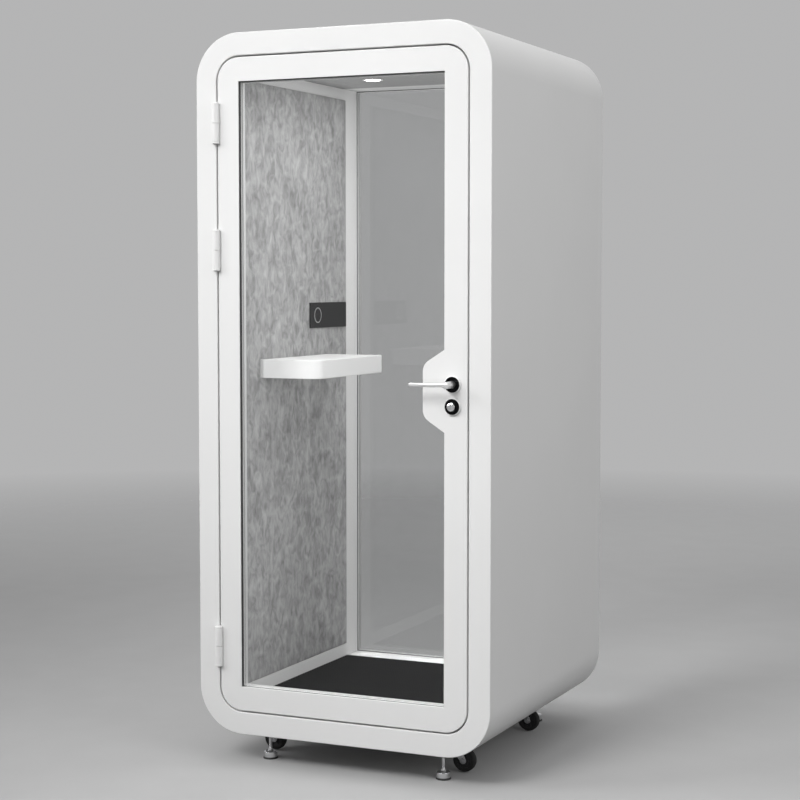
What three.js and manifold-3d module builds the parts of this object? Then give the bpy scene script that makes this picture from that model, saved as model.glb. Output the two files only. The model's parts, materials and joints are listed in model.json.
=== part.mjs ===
// Single-person acoustic office pod: a rounded tube of sandwich walls with a glazed front
// door, a fixed glass rear wall, a wall shelf, levelling feet and swivel castors.
// Millimetres, +Z up, the door faces -Y, and the feet stand on z = 0.

import * as THREE from 'three';
import { mergeVertices } from 'three/addons/utils/BufferGeometryUtils.js';
import Module from 'manifold-3d';

const wasm = await Module();
wasm.setup();

// Body
const BODY_WIDTH = 1000;
const BODY_DEPTH = 1040;
const BODY_HEIGHT = 2213;
const CORNER_RADIUS = 150;
const GROUND_CLEARANCE = 97;
const CLEARANCE = 0.3;

// Wall, floor and roof build-ups, from the outer skin to the finished inner face
const WALL_BUILD = 76;
const FLOOR_BUILD = 76;
const ROOF_BUILD = 88;
const SKIN = 2;
const LINING = 8;
const DECK = 18;
const CEILING_BOARD = 12;
const FELT = 9;
const CARPET = 6;

// Felt panels and carpet: white margins left around them
const FELT_FRONT_MARGIN = 45;
const FELT_BOTTOM_MARGIN = 48;
const FELT_TOP_MARGIN = 40;
const REAR_STRIP = 90;

// Front frame and door leaf
const FRAME_FACE = 71;
const DOOR_GAP = 5;
const DOOR_THICKNESS = 42;
const SEAL_DEPTH = 4;
const SEAL_LAP = 2;
const STOP_DEPTH = 14;
const STOP_LAP = 12;
const STILE = 75;
const TOP_RAIL = 75;
const BOTTOM_RAIL = 77;
const GASKET_DEPTH = 12;
const GASKET_SETBACK = 0.8;
const GASKET_THICKNESS = 2;
const DOOR_GLASS = 10;
const GLASS_LIP = 4;

// Lock bump that reaches from the closing stile into the window
const BUMP_DEPTH = 70;
const BUMP_TIP_HALF = 79.5;
const BUMP_ROOT_HALF = 124.5;
const BUMP_RADIUS = 40;
const BUMP_BELOW_LEVER = 21;

// Rear frame and fixed glass
const REAR_FRAME_DEPTH = 50;
const REAR_GLASS = 12;
const REAR_GLASS_SETBACK = 18;
const REAR_GASKET_DEPTH = 20;
const REAR_GASKET_THICKNESS = 4;

// Lift-off barrel hinges
const HINGE_RADIUS = 12;
const HINGE_LENGTH = 130;
const HINGE_PROUD = 8;
const HINGE_LEAF_END = 6;
const HINGE_KNUCKLE_GAP = 1;
const HINGE_PIN_RADIUS = 5;
const HINGE_PIN_RISE = 45;
const HINGE_PIN_ROOT = 40;
const HINGE_POCKET_CLEARANCE = 0.6;
const HINGE_END_INSET = 203;
const HINGE_PAIR_SPACING = 397;

// Lever, lock and bolts
const LEVER_RISE = 1133;
const LOCK_BELOW_LEVER = 66.5;
const BACKSET = 46.5;
const ROSE_RADIUS = 26;
const ROSE_THICKNESS = 8;
const LEVER_PROUD = 62;
const LEVER_LENGTH = 120;
const LEVER_BAR = 12;
const LEVER_NECK_RADIUS = 10.5;
const INNER_LEVER_PROUD = 56;
const SPINDLE = 8;
const SPINDLE_REACH = 20;
const SPINDLE_HOLE_RADIUS = 7;
const KNOB_RADIUS = 13;
const KNOB_PROUD = 21;
const KNOB_SLOT = 3;
const KNOB_SLOT_DEPTH = 4;
const TAIL_RADIUS = 5;
const RUNNING = 0.4;
const INNER_PLATE_WIDTH = 56;
const INNER_PLATE_MARGIN = 32;
const INNER_PLATE_THICKNESS = 6;
const TURN_BASE_RADIUS = 13;
const TURN_BASE_HEIGHT = 5;
const TURN_WING_WIDTH = 8;
const TURN_WING_LENGTH = 26;
const TURN_WING_HEIGHT = 18;
const CASE_DEPTH = 75;
const CASE_THICKNESS = 18;
const CASE_MARGIN = 55;
const BOLT_THICKNESS = 12;
const LATCH_HEIGHT = 18;
const LATCH_NOSE = 4;
const LATCH_BODY = 27;
const LATCH_TRAVEL = 10;
const DEADBOLT_HEIGHT = 26;
const DEADBOLT_BODY = 31;
const DEADBOLT_TRAVEL = 15;
const STRIKE_THICKNESS = 2;
const STRIKE_WIDTH = 24;
const STRIKE_MARGIN = 30;
const STRIKE_HOLE_MARGIN = 1.5;
const BOLT_POCKET_MARGIN = 2;

// Shelf on the left wall, with its height above the floor
const SHELF_TOP = 1108;
const SHELF_THICKNESS = 61;
const SHELF_PROJECTION = 215;
const SHELF_LENGTH = 485;
const SHELF_FROM_FRONT = 255;
const SHELF_RADIUS = 38;

// Socket plate with its round push button, with its height above the floor
const PLATE_HEIGHT = 1246;
const PLATE_LENGTH = 281;
const PLATE_REAR_MARGIN = 11;
const PLATE_WIDTH = 88;
const PLATE_THICKNESS = 4;
const BUTTON_RADIUS = 27;
const BUTTON_INSET = 56;
const BUTTON_THICKNESS = 2;
const BUTTON_PROUD = 1;

// Downlight and roof fan, placed from the middle of the ceiling
const LIGHT_X = -197;
const LIGHT_Y = 143;
const LIGHT_RADIUS = 30;
const LIGHT_FLANGE = 6;
const LIGHT_FLANGE_HEIGHT = 2.5;
const LIGHT_HEIGHT = 40;
const LIGHT_WALL = 3;
const LENS_THICKNESS = 3;
const LENS_SETBACK = 1;
const LENS_TOP = 24;
const FAN_X = 197;
const FAN_Y = -143;
const DUCT_RADIUS = 62;
const DUCT_WALL = 4;
const FAN_FLANGE = 10;
const FAN_FLANGE_HEIGHT = 2.5;
const SPIDER_RISE = 63;
const SPIDER_THICKNESS = 5;
const SPIDER_ARM = 8;
const FAN_HUB_RADIUS = 22;
const FAN_HUB_HEIGHT = 24;
const FAN_SHAFT_RADIUS = 3;
const FAN_SHAFT_END = 5;
const FAN_GAP = 1.5;
const BLADE_COUNT = 5;
const BLADE_CHORD = 26;
const BLADE_THICKNESS = 2;
const BLADE_TILT = THREE.MathUtils.degToRad(35);
const BLADE_TIP_GAP = 3;

// Levelling feet
const FOOT_INSET_X = 197;
const FOOT_INSET_Y = 107;
const FOOT_PAD_RADIUS = 24;
const FOOT_PAD_HEIGHT = 5;
const FOOT_CUP_RADIUS = 21.5;
const FOOT_CUP_HEIGHT = 19;
const FOOT_CUP_CHAMFER = 2;
const FOOT_FLARE_RADIUS = 10;
const FOOT_FLARE_HEIGHT = 9;
const STEM_RADIUS = 5.3;
const STEM_ENGAGEMENT = 23;

// Swivel castors
const CASTOR_INSET_X = 195;
const CASTOR_FRONT_INSET = 204;
const CASTOR_REAR_INSET = 260;
const CASTOR_TRAIL = 30;
const WHEEL_RADIUS = 37.5;
const WHEEL_WIDTH = 24;
const WHEEL_LIFT = 3;
const WHEEL_RIM = 24;
const WHEEL_DISH = 2;
const TREAD_ROUND = 3;
const AXLE_RADIUS = 4;
const FORK_SIDE_GAP = 1.5;
const FORK_PLATE = 3.5;
const FORK_CROWN = 7;
const FORK_HALF_LENGTH = 18;
const FORK_BOSS_RADIUS = 11;
const FORK_TOP_GAP = 7;
const KINGPIN_RADIUS = 8;
const KINGPIN_RISE = 30;

// Smoothness of round forms: steps are counted for an eighth of a circle
const ARC_STEPS = 6;
const SMALL_ARC_STEPS = 3;
const ROUND_SIDES = 16;
const LARGE_SIDES = 24;
const MERGE_TOLERANCE = 1e-4;

// Faces and levels that follow from the sizes above
const HALF_WIDTH = BODY_WIDTH / 2;
const FRONT = -BODY_DEPTH / 2;
const REAR = BODY_DEPTH / 2;
const BOTTOM = GROUND_CLEARANCE;
const TOP = BOTTOM + BODY_HEIGHT;
const INNER_X = HALF_WIDTH - WALL_BUILD;
const FLOOR = BOTTOM + FLOOR_BUILD;
const CEILING = TOP - ROOF_BUILD;
const LINING_BACK = INNER_X + LINING;
const FELT_FACE = INNER_X - CLEARANCE - FELT;
const JAMB_X = HALF_WIDTH - FRAME_FACE;
const LEAF_INSET = FRAME_FACE + DOOR_GAP;
const LEAF_X = HALF_WIDTH - LEAF_INSET;
const LEAF_BOTTOM = BOTTOM + LEAF_INSET;
const LEAF_TOP = TOP - LEAF_INSET;
const LEAF_REAR = FRONT + DOOR_THICKNESS;
const FRAME_BACK = LEAF_REAR + SEAL_DEPTH + STOP_DEPTH;
const REAR_FRAME_FRONT = REAR - REAR_FRAME_DEPTH;
const SHELL_FRONT = FRAME_BACK + CLEARANCE;
const SHELL_REAR = REAR_FRAME_FRONT - CLEARANCE;
const STRIP_FRONT = REAR_FRAME_FRONT - REAR_STRIP;
const WINDOW_X = LEAF_X - STILE;
const WINDOW_BOTTOM = LEAF_BOTTOM + BOTTOM_RAIL;
const WINDOW_TOP = LEAF_TOP - TOP_RAIL;
const LEVER_Z = BOTTOM + LEVER_RISE;
const LOCK_Z = LEVER_Z - LOCK_BELOW_LEVER;
const LOCK_X = LEAF_X - BACKSET;
const BOLT_Y = FRONT + DOOR_THICKNESS / 2;
const BUMP_Z = LEVER_Z - BUMP_BELOW_LEVER;
const HINGE_X = -(JAMB_X + LEAF_X) / 2;
const HINGE_Y = FRONT - HINGE_PROUD;
const AXLE_Z = WHEEL_LIFT + WHEEL_RADIUS;

// Finishes
const WHITE = { color: 0xf4f4f2, roughness: 0.45, metalness: 0 };
const WHITE_BOARD = { color: 0xe9e9e6, roughness: 0.6, metalness: 0 };
const FELT_GREY = { color: 0x9a9a9a, roughness: 0.95, metalness: 0 };
const CEILING_GREY = { color: 0x8c8c8c, roughness: 0.9, metalness: 0 };
const CORE_GREY = { color: 0x6f7274, roughness: 1, metalness: 0 };
const PLYWOOD = { color: 0xb08d5f, roughness: 0.8, metalness: 0 };
const CARPET_BLACK = { color: 0x1d1d1d, roughness: 1, metalness: 0 };
const RUBBER = { color: 0x1a1a1a, roughness: 0.8, metalness: 0 };
const BLACK = { color: 0x161616, roughness: 0.35, metalness: 0 };
const CHROME = { color: 0xd8dadc, roughness: 0.12, metalness: 1 };
const BLACK_CHROME = { color: 0x0c0c0d, roughness: 0.08, metalness: 1 };
const STEEL = { color: 0x8e9296, roughness: 0.35, metalness: 1 };
const GLASS = { color: 0xdfe6e6, roughness: 0.02, metalness: 0, transparent: true, opacity: 0.3 };
const LENS = { color: 0xffffff, roughness: 0.3, metalness: 0, emissive: 0xffffff };

// Closed solids from three.js geometry, and back again

function solid(geometry) {
  const bare = new THREE.BufferGeometry();
  bare.setAttribute('position', geometry.getAttribute('position'));
  bare.setIndex(geometry.getIndex());
  const merged = mergeVertices(bare, MERGE_TOLERANCE);
  const index = merged.getIndex().array;
  const triangles = [];
  for (let i = 0; i < index.length; i += 3) {
    const [a, b, c] = index.slice(i, i + 3);
    if (a !== b && b !== c && c !== a) {
      triangles.push(a, b, c);
    }
  }
  const vertProperties = Float32Array.from(merged.getAttribute('position').array);
  const triVerts = Uint32Array.from(triangles);
  return new wasm.Manifold(new wasm.Mesh({ numProp: 3, vertProperties, triVerts }));
}

function geometryOf(manifold) {
  const mesh = manifold.getMesh();
  const geometry = new THREE.BufferGeometry();
  geometry.setAttribute('position', new THREE.BufferAttribute(mesh.vertProperties, 3));
  geometry.setIndex(new THREE.BufferAttribute(mesh.triVerts, 1));
  geometry.computeVertexNormals();
  return geometry;
}

function join(first, ...others) {
  return others.reduce((sum, other) => sum.add(other), first);
}

function cut(first, ...tools) {
  return tools.reduce((rest, tool) => rest.subtract(tool), first);
}

function swept(shape, depth, curveSegments) {
  return new THREE.ExtrudeGeometry(shape, { depth, bevelEnabled: false, curveSegments });
}

// An outline in X and Z, swept from y0 to y1
function alongY(shape, y0, y1, steps = ARC_STEPS) {
  const geometry = swept(shape, y1 - y0, steps);
  geometry.rotateX(Math.PI / 2);
  geometry.translate(0, y1, 0);
  return solid(geometry);
}

// An outline in X and Y, swept from z0 to z1
function alongZ(shape, z0, z1, steps = ARC_STEPS) {
  const geometry = swept(shape, z1 - z0, steps);
  geometry.translate(0, 0, z0);
  return solid(geometry);
}

function box(x0, x1, y0, y1, z0, z1) {
  const geometry = new THREE.BoxGeometry(x1 - x0, y1 - y0, z1 - z0);
  geometry.translate((x0 + x1) / 2, (y0 + y1) / 2, (z0 + z1) / 2);
  return solid(geometry);
}

function rodX(radius, x0, x1, y, z, sides = ROUND_SIDES) {
  const geometry = new THREE.CylinderGeometry(radius, radius, x1 - x0, sides);
  geometry.rotateZ(Math.PI / 2);
  geometry.translate((x0 + x1) / 2, y, z);
  return solid(geometry);
}

function rodY(radius, y0, y1, x, z, sides = ROUND_SIDES) {
  const geometry = new THREE.CylinderGeometry(radius, radius, y1 - y0, sides);
  geometry.translate(x, (y0 + y1) / 2, z);
  return solid(geometry);
}

function rodZ(radius, z0, z1, x, y, sides = ROUND_SIDES) {
  const geometry = new THREE.CylinderGeometry(radius, radius, z1 - z0, sides);
  geometry.rotateX(Math.PI / 2);
  geometry.translate(x, y, (z0 + z1) / 2);
  return solid(geometry);
}

// A profile of [radius, height] pairs turned about a vertical axis
function turned(profile, x, y, sides) {
  const points = profile.map(([radius, height]) => new THREE.Vector2(radius, height));
  const geometry = new THREE.LatheGeometry(points, sides);
  geometry.rotateX(Math.PI / 2);
  geometry.translate(x, y, 0);
  return solid(geometry);
}

// Outlines

function roundedRect(left, bottom, right, top, radius) {
  const shape = new THREE.Shape();
  shape.moveTo(left + radius, bottom);
  shape.lineTo(right - radius, bottom);
  shape.absarc(right - radius, bottom + radius, radius, -Math.PI / 2, 0);
  shape.lineTo(right, top - radius);
  shape.absarc(right - radius, top - radius, radius, 0, Math.PI / 2);
  shape.lineTo(left + radius, top);
  shape.absarc(left + radius, top - radius, radius, Math.PI / 2, Math.PI);
  shape.lineTo(left, bottom + radius);
  shape.absarc(left + radius, bottom + radius, radius, Math.PI, Math.PI * 1.5);
  return shape;
}

function rectangle(left, bottom, right, top) {
  const shape = new THREE.Shape();
  shape.moveTo(left, bottom);
  shape.lineTo(right, bottom);
  shape.lineTo(right, top);
  shape.lineTo(left, top);
  return shape;
}

// The body's rounded outline, drawn in by an inset on all sides
function bodyOutline(inset) {
  const radius = Math.max(CORNER_RADIUS - inset, CLEARANCE);
  return roundedRect(-HALF_WIDTH + inset, BOTTOM + inset, HALF_WIDTH - inset, TOP - inset, radius);
}

function bodyRing(outerInset, innerInset) {
  const shape = bodyOutline(outerInset);
  shape.holes.push(bodyOutline(innerInset));
  return shape;
}

// The cabin's square-cornered inner opening, drawn in by an inset on all sides
function cabinOutline(inset) {
  return rectangle(-INNER_X + inset, FLOOR + inset, INNER_X - inset, CEILING - inset);
}

// The door's window with the lock bump in its right edge, drawn in by an inset on all sides
function windowOutline(inset) {
  const slope = Math.atan2(BUMP_ROOT_HALF - BUMP_TIP_HALF, BUMP_DEPTH);
  const spread = inset * Math.tan(Math.PI / 4 - slope / 2);
  const left = -WINDOW_X + inset;
  const right = WINDOW_X - inset;
  const bottom = WINDOW_BOTTOM + inset;
  const top = WINDOW_TOP - inset;
  const radius = BUMP_RADIUS + inset;
  const tangent = radius * Math.tan(Math.PI / 4 - slope / 2);
  const centreX = right - BUMP_DEPTH + radius;
  const rise = BUMP_TIP_HALF + spread - tangent;
  const shape = new THREE.Shape();
  shape.moveTo(left, bottom);
  shape.lineTo(right, bottom);
  shape.lineTo(right, BUMP_Z - BUMP_ROOT_HALF - spread);
  shape.absarc(centreX, BUMP_Z - rise, radius, Math.PI * 1.5 - slope, Math.PI, true);
  shape.absarc(centreX, BUMP_Z + rise, radius, Math.PI, Math.PI / 2 + slope, true);
  shape.lineTo(right, BUMP_Z + BUMP_ROOT_HALF + spread);
  shape.lineTo(right, top);
  shape.lineTo(left, top);
  return shape;
}

// The object: one named mesh for each piece

const pod = new THREE.Group();
pod.position.y = LEVER_PROUD / 2;

function place(name, manifold, finish) {
  const mesh = new THREE.Mesh(geometryOf(manifold), new THREE.MeshStandardMaterial(finish));
  mesh.name = name;
  pod.add(mesh);
}

// Lift-off hinges: a lower barrel with the pin on the frame, an upper barrel on the door

const HINGES = [
  { name: 'hinge_upper', z: LEAF_TOP - HINGE_END_INSET },
  { name: 'hinge_middle', z: LEAF_TOP - HINGE_END_INSET - HINGE_PAIR_SPACING },
  { name: 'hinge_lower', z: LEAF_BOTTOM + HINGE_END_INSET },
];
const HINGE_LEAF = (DOOR_GAP - 3 * CLEARANCE) / 2;
const HINGE_LEAF_REAR = LEAF_REAR - HINGE_LEAF_END;

function hingePocket(z) {
  const radius = HINGE_RADIUS + HINGE_POCKET_CLEARANCE;
  const half = HINGE_LENGTH / 2 + HINGE_POCKET_CLEARANCE;
  return rodZ(radius, z - half, z + half, HINGE_X, HINGE_Y);
}

function hingeFrameLeaf(z) {
  const low = z - HINGE_LENGTH / 2;
  const high = z - HINGE_KNUCKLE_GAP / 2;
  const left = -JAMB_X + CLEARANCE;
  const barrel = rodZ(HINGE_RADIUS, low, high, HINGE_X, HINGE_Y);
  const leaf = box(left, left + HINGE_LEAF, HINGE_Y, HINGE_LEAF_REAR, low, high);
  const pin = rodZ(HINGE_PIN_RADIUS, z - HINGE_PIN_ROOT, z + HINGE_PIN_RISE, HINGE_X, HINGE_Y);
  return join(barrel, leaf, pin);
}

function hingeDoorLeaf(z) {
  const low = z + HINGE_KNUCKLE_GAP / 2;
  const high = z + HINGE_LENGTH / 2;
  const right = -LEAF_X - CLEARANCE;
  const barrel = rodZ(HINGE_RADIUS, low, high, HINGE_X, HINGE_Y);
  const leaf = box(right - HINGE_LEAF, right, HINGE_Y, HINGE_LEAF_REAR, low, high);
  const boreTop = z + HINGE_PIN_RISE + HINGE_KNUCKLE_GAP;
  const bore = rodZ(HINGE_PIN_RADIUS + RUNNING, z, boreTop, HINGE_X, HINGE_Y);
  return cut(join(barrel, leaf), bore);
}

// Front frame: a ring with a stop behind the door leaf, pockets for the hinges and the strike

const STRIKE_LOW = LOCK_Z - DEADBOLT_HEIGHT / 2 - STRIKE_MARGIN;
const STRIKE_HIGH = LEVER_Z + LATCH_HEIGHT / 2 + STRIKE_MARGIN;

// A box across the door edge, round a bolt's section, grown by a margin
function boltSpace(x0, x1, centreZ, height, margin) {
  const halfY = BOLT_THICKNESS / 2 + margin;
  const halfZ = height / 2 + margin;
  return box(x0, x1, BOLT_Y - halfY, BOLT_Y + halfY, centreZ - halfZ, centreZ + halfZ);
}

function strikeRecess() {
  const halfY = STRIKE_WIDTH / 2 + CLEARANCE;
  const back = JAMB_X + STRIKE_THICKNESS + CLEARANCE;
  const low = STRIKE_LOW - CLEARANCE;
  const high = STRIKE_HIGH + CLEARANCE;
  return box(JAMB_X - DOOR_GAP, back, BOLT_Y - halfY, BOLT_Y + halfY, low, high);
}

function boltPocket() {
  const back = LEAF_X + DEADBOLT_TRAVEL + BOLT_POCKET_MARGIN;
  return boltSpace(JAMB_X - DOOR_GAP, back, LOCK_Z, DEADBOLT_HEIGHT, BOLT_POCKET_MARGIN);
}

function frontFrame() {
  const ring = alongY(bodyRing(0, LEAF_INSET + STOP_LAP), FRONT, FRAME_BACK);
  const doorway = alongY(bodyOutline(FRAME_FACE), FRONT - DOOR_GAP, LEAF_REAR + SEAL_DEPTH);
  const pockets = HINGES.map(({ z }) => hingePocket(z));
  return cut(ring, doorway, ...pockets, strikeRecess(), boltPocket());
}

function strikePlate() {
  const halfY = STRIKE_WIDTH / 2;
  const back = JAMB_X + STRIKE_THICKNESS;
  const plate = box(JAMB_X, back, BOLT_Y - halfY, BOLT_Y + halfY, STRIKE_LOW, STRIKE_HIGH);
  const front = JAMB_X - DOOR_GAP;
  const latchHole = boltSpace(front, HALF_WIDTH, LEVER_Z, LATCH_HEIGHT, STRIKE_HOLE_MARGIN);
  const boltHole = boltSpace(front, HALF_WIDTH, LOCK_Z, DEADBOLT_HEIGHT, STRIKE_HOLE_MARGIN);
  return cut(plate, latchHole, boltHole);
}

function doorSeal() {
  const shape = bodyRing(LEAF_INSET + SEAL_LAP, LEAF_INSET + STOP_LAP);
  return alongY(shape, LEAF_REAR + CLEARANCE, LEAF_REAR + SEAL_DEPTH - CLEARANCE);
}

place('front_frame', frontFrame(), WHITE);
place('door_seal', doorSeal(), RUBBER);
place('strike_plate', strikePlate(), STEEL);
for (const { name, z } of HINGES) {
  place(`${name}_frame_leaf`, hingeFrameLeaf(z), WHITE);
}

// Rear frame with the fixed glass in its gasket

function rearFrame() {
  const shape = bodyOutline(0);
  shape.holes.push(cabinOutline(0));
  return alongY(shape, REAR_FRAME_FRONT, REAR);
}

function rearGasket() {
  const shape = cabinOutline(CLEARANCE);
  shape.holes.push(cabinOutline(REAR_GASKET_THICKNESS));
  const middle = REAR - REAR_GLASS_SETBACK - REAR_GLASS / 2;
  return alongY(shape, middle - REAR_GASKET_DEPTH / 2, middle + REAR_GASKET_DEPTH / 2);
}

function rearGlass() {
  const back = REAR - REAR_GLASS_SETBACK;
  return alongY(cabinOutline(REAR_GASKET_THICKNESS + CLEARANCE), back - REAR_GLASS, back);
}

place('rear_frame', rearFrame(), WHITE);
place('rear_gasket', rearGasket(), RUBBER);
place('rear_glass', rearGlass(), GLASS);

// Four-way symmetry of the undercarriage

const CORNERS = [
  { name: 'front_left', side: -1, end: -1 },
  { name: 'front_right', side: 1, end: -1 },
  { name: 'rear_left', side: -1, end: 1 },
  { name: 'rear_right', side: 1, end: 1 },
];
const FOOT_X = HALF_WIDTH - FOOT_INSET_X;
const FOOT_Y = BODY_DEPTH / 2 - FOOT_INSET_Y;
const CASTOR_X = HALF_WIDTH - CASTOR_INSET_X;
const CASTOR_Y = {
  [-1]: CASTOR_FRONT_INSET - BODY_DEPTH / 2,
  [1]: BODY_DEPTH / 2 - CASTOR_REAR_INSET,
};

function undercarriageHoles() {
  const stemHoles = CORNERS.map(({ side, end }) => {
    return rodZ(STEM_RADIUS + RUNNING, BOTTOM - SKIN, FLOOR, side * FOOT_X, end * FOOT_Y);
  });
  const pinTop = BOTTOM + KINGPIN_RISE + RUNNING;
  const pinHoles = CORNERS.map(({ side, end }) => {
    return rodZ(KINGPIN_RADIUS + RUNNING, BOTTOM - SKIN, pinTop, side * CASTOR_X, CASTOR_Y[end]);
  });
  return [...stemHoles, ...pinHoles];
}

// Outer skins: two flat sides, and a roof and a base sheet that carry the round corners

function wrapSkin(low, high) {
  const wrap = alongY(bodyRing(0, SKIN), SHELL_FRONT, SHELL_REAR);
  return wrap.intersect(box(-BODY_WIDTH, BODY_WIDTH, SHELL_FRONT, SHELL_REAR, low, high));
}

function sideSkin(side) {
  const low = BOTTOM + CORNER_RADIUS + CLEARANCE;
  const high = TOP - CORNER_RADIUS - CLEARANCE;
  const x = [side * (HALF_WIDTH - SKIN), side * HALF_WIDTH].sort((a, b) => a - b);
  return box(x[0], x[1], SHELL_FRONT, SHELL_REAR, low, high);
}

function roofSkin() {
  const outlet = rodZ(DUCT_RADIUS, TOP - 2 * SKIN, TOP + SKIN, FAN_X, FAN_Y, LARGE_SIDES);
  return cut(wrapSkin(TOP - CORNER_RADIUS, TOP + SKIN), outlet);
}

function baseSkin() {
  return cut(wrapSkin(BOTTOM - SKIN, BOTTOM + CORNER_RADIUS), ...undercarriageHoles());
}

place('left_skin', sideSkin(-1), WHITE);
place('right_skin', sideSkin(1), WHITE);
place('roof_skin', roofSkin(), WHITE);
place('base_skin', baseSkin(), WHITE);

// Holes for the downlight's can and the fan's duct

function lightHole(low, high) {
  return rodZ(LIGHT_RADIUS + CLEARANCE, low, high, LIGHT_X, LIGHT_Y, LARGE_SIDES);
}

function ductHole(low, high) {
  return rodZ(DUCT_RADIUS + DUCT_WALL + CLEARANCE, low, high, FAN_X, FAN_Y, LARGE_SIDES);
}

// Acoustic cores and the plywood base platform, which fill the walls between skin and lining

function wallFill(x0, x1, low, high) {
  const tube = alongY(bodyOutline(SKIN + CLEARANCE), SHELL_FRONT, SHELL_REAR);
  return tube.intersect(box(x0, x1, SHELL_FRONT, SHELL_REAR, low, high));
}

function sideCore(side) {
  const inner = side * (LINING_BACK + CLEARANCE);
  const x = [inner, side * BODY_WIDTH].sort((a, b) => a - b);
  return wallFill(x[0], x[1], FLOOR - DECK, CEILING + CEILING_BOARD);
}

function roofCore() {
  const fill = wallFill(-BODY_WIDTH, BODY_WIDTH, CEILING + CEILING_BOARD + CLEARANCE, TOP);
  const canTop = CEILING + LIGHT_HEIGHT + CLEARANCE;
  return cut(fill, lightHole(CEILING, canTop), ductHole(CEILING, TOP));
}

function basePlatform() {
  const fill = wallFill(-BODY_WIDTH, BODY_WIDTH, BOTTOM, FLOOR - DECK - CLEARANCE);
  return cut(fill, ...undercarriageHoles());
}

place('left_core', sideCore(-1), CORE_GREY);
place('right_core', sideCore(1), CORE_GREY);
place('roof_core', roofCore(), CORE_GREY);
place('base_platform', basePlatform(), PLYWOOD);

// Cabin lining: white side boards with a skirting, floor deck, grey ceiling board, felt panels and carpet

function sideLining(side) {
  const x = [side * INNER_X, side * LINING_BACK].sort((a, b) => a - b);
  const low = FLOOR + CLEARANCE;
  const board = box(x[0], x[1], SHELL_FRONT, SHELL_REAR, low, CEILING - CLEARANCE);
  const step = [side * FELT_FACE, side * LINING_BACK].sort((a, b) => a - b);
  const top = FLOOR + FELT_BOTTOM_MARGIN - CLEARANCE;
  return join(board, box(step[0], step[1], SHELL_FRONT, STRIP_FRONT, low, top));
}

function sideFelt(side) {
  const x = [side * FELT_FACE, side * (INNER_X - CLEARANCE)].sort((a, b) => a - b);
  const front = SHELL_FRONT + FELT_FRONT_MARGIN;
  const low = FLOOR + FELT_BOTTOM_MARGIN;
  return box(x[0], x[1], front, STRIP_FRONT, low, CEILING - FELT_TOP_MARGIN);
}

function ceilingBoard() {
  const top = CEILING + CEILING_BOARD;
  const board = box(-LINING_BACK, LINING_BACK, SHELL_FRONT, SHELL_REAR, CEILING, top);
  const low = CEILING - SKIN;
  const high = top + SKIN;
  return cut(board, lightHole(low, high), ductHole(low, high));
}

function floorDeck() {
  return box(-LINING_BACK, LINING_BACK, SHELL_FRONT, SHELL_REAR, FLOOR - DECK, FLOOR);
}

function carpet() {
  const half = FELT_FACE - CLEARANCE;
  const low = FLOOR + CLEARANCE;
  return box(-half, half, SHELL_FRONT, STRIP_FRONT, low, low + CARPET);
}

place('left_lining', sideLining(-1), WHITE_BOARD);
place('right_lining', sideLining(1), WHITE_BOARD);
place('floor_deck', floorDeck(), WHITE_BOARD);
place('ceiling_board', ceilingBoard(), CEILING_GREY);
place('left_felt', sideFelt(-1), FELT_GREY);
place('right_felt', sideFelt(1), FELT_GREY);
place('carpet', carpet(), CARPET_BLACK);

// Door: leaf with a rebated window, glass held by a front gasket, and the lock in its edge

const CASE_LOW = LOCK_Z - CASE_MARGIN;
const CASE_HIGH = LEVER_Z + CASE_MARGIN;

function caseSpace(margin, outer) {
  const halfY = CASE_THICKNESS / 2 + margin;
  const inner = LEAF_X - CASE_DEPTH - margin;
  return box(inner, outer, BOLT_Y - halfY, BOLT_Y + halfY, CASE_LOW - margin, CASE_HIGH + margin);
}

function doorLeaf() {
  const shape = bodyOutline(LEAF_INSET);
  shape.holes.push(windowOutline(GLASS_LIP));
  const glassBack = FRONT + GASKET_DEPTH + DOOR_GLASS + CLEARANCE;
  const rebate = alongY(windowOutline(0), FRONT - DOOR_GAP, glassBack);
  const ahead = FRONT - DOOR_GAP;
  const behind = LEAF_REAR + DOOR_GAP;
  const spindleHole = rodY(SPINDLE_HOLE_RADIUS, ahead, behind, LOCK_X, LEVER_Z);
  const tailHole = rodY(TAIL_RADIUS + RUNNING, ahead, behind, LOCK_X, LOCK_Z);
  const mortise = caseSpace(CLEARANCE, LEAF_X + DOOR_GAP);
  const pockets = HINGES.map(({ z }) => hingePocket(z));
  return cut(alongY(shape, FRONT, LEAF_REAR), rebate, spindleHole, tailHole, mortise, ...pockets);
}

function doorGlass() {
  return alongY(windowOutline(CLEARANCE), FRONT + GASKET_DEPTH, FRONT + GASKET_DEPTH + DOOR_GLASS);
}

function doorGasket() {
  const shape = windowOutline(CLEARANCE);
  shape.holes.push(windowOutline(CLEARANCE + GASKET_THICKNESS));
  return alongY(shape, FRONT + GASKET_SETBACK, FRONT + GASKET_DEPTH - CLEARANCE);
}

function lockCase() {
  const spindleHole = rodY(SPINDLE_HOLE_RADIUS, FRONT, LEAF_REAR, LOCK_X, LEVER_Z);
  const tailHole = rodY(TAIL_RADIUS + RUNNING, FRONT, LEAF_REAR, LOCK_X, LOCK_Z);
  const latchBack = LEAF_X - LATCH_BODY - LATCH_TRAVEL - CLEARANCE;
  const boltBack = LEAF_X - DEADBOLT_BODY - 2 * CLEARANCE;
  const ahead = LEAF_X + DOOR_GAP;
  const latchChannel = boltSpace(latchBack, ahead, LEVER_Z, LATCH_HEIGHT, CLEARANCE);
  const boltChannel = boltSpace(boltBack, ahead, LOCK_Z, DEADBOLT_HEIGHT, CLEARANCE);
  return cut(caseSpace(0, LEAF_X), spindleHole, tailHole, latchChannel, boltChannel);
}

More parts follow.
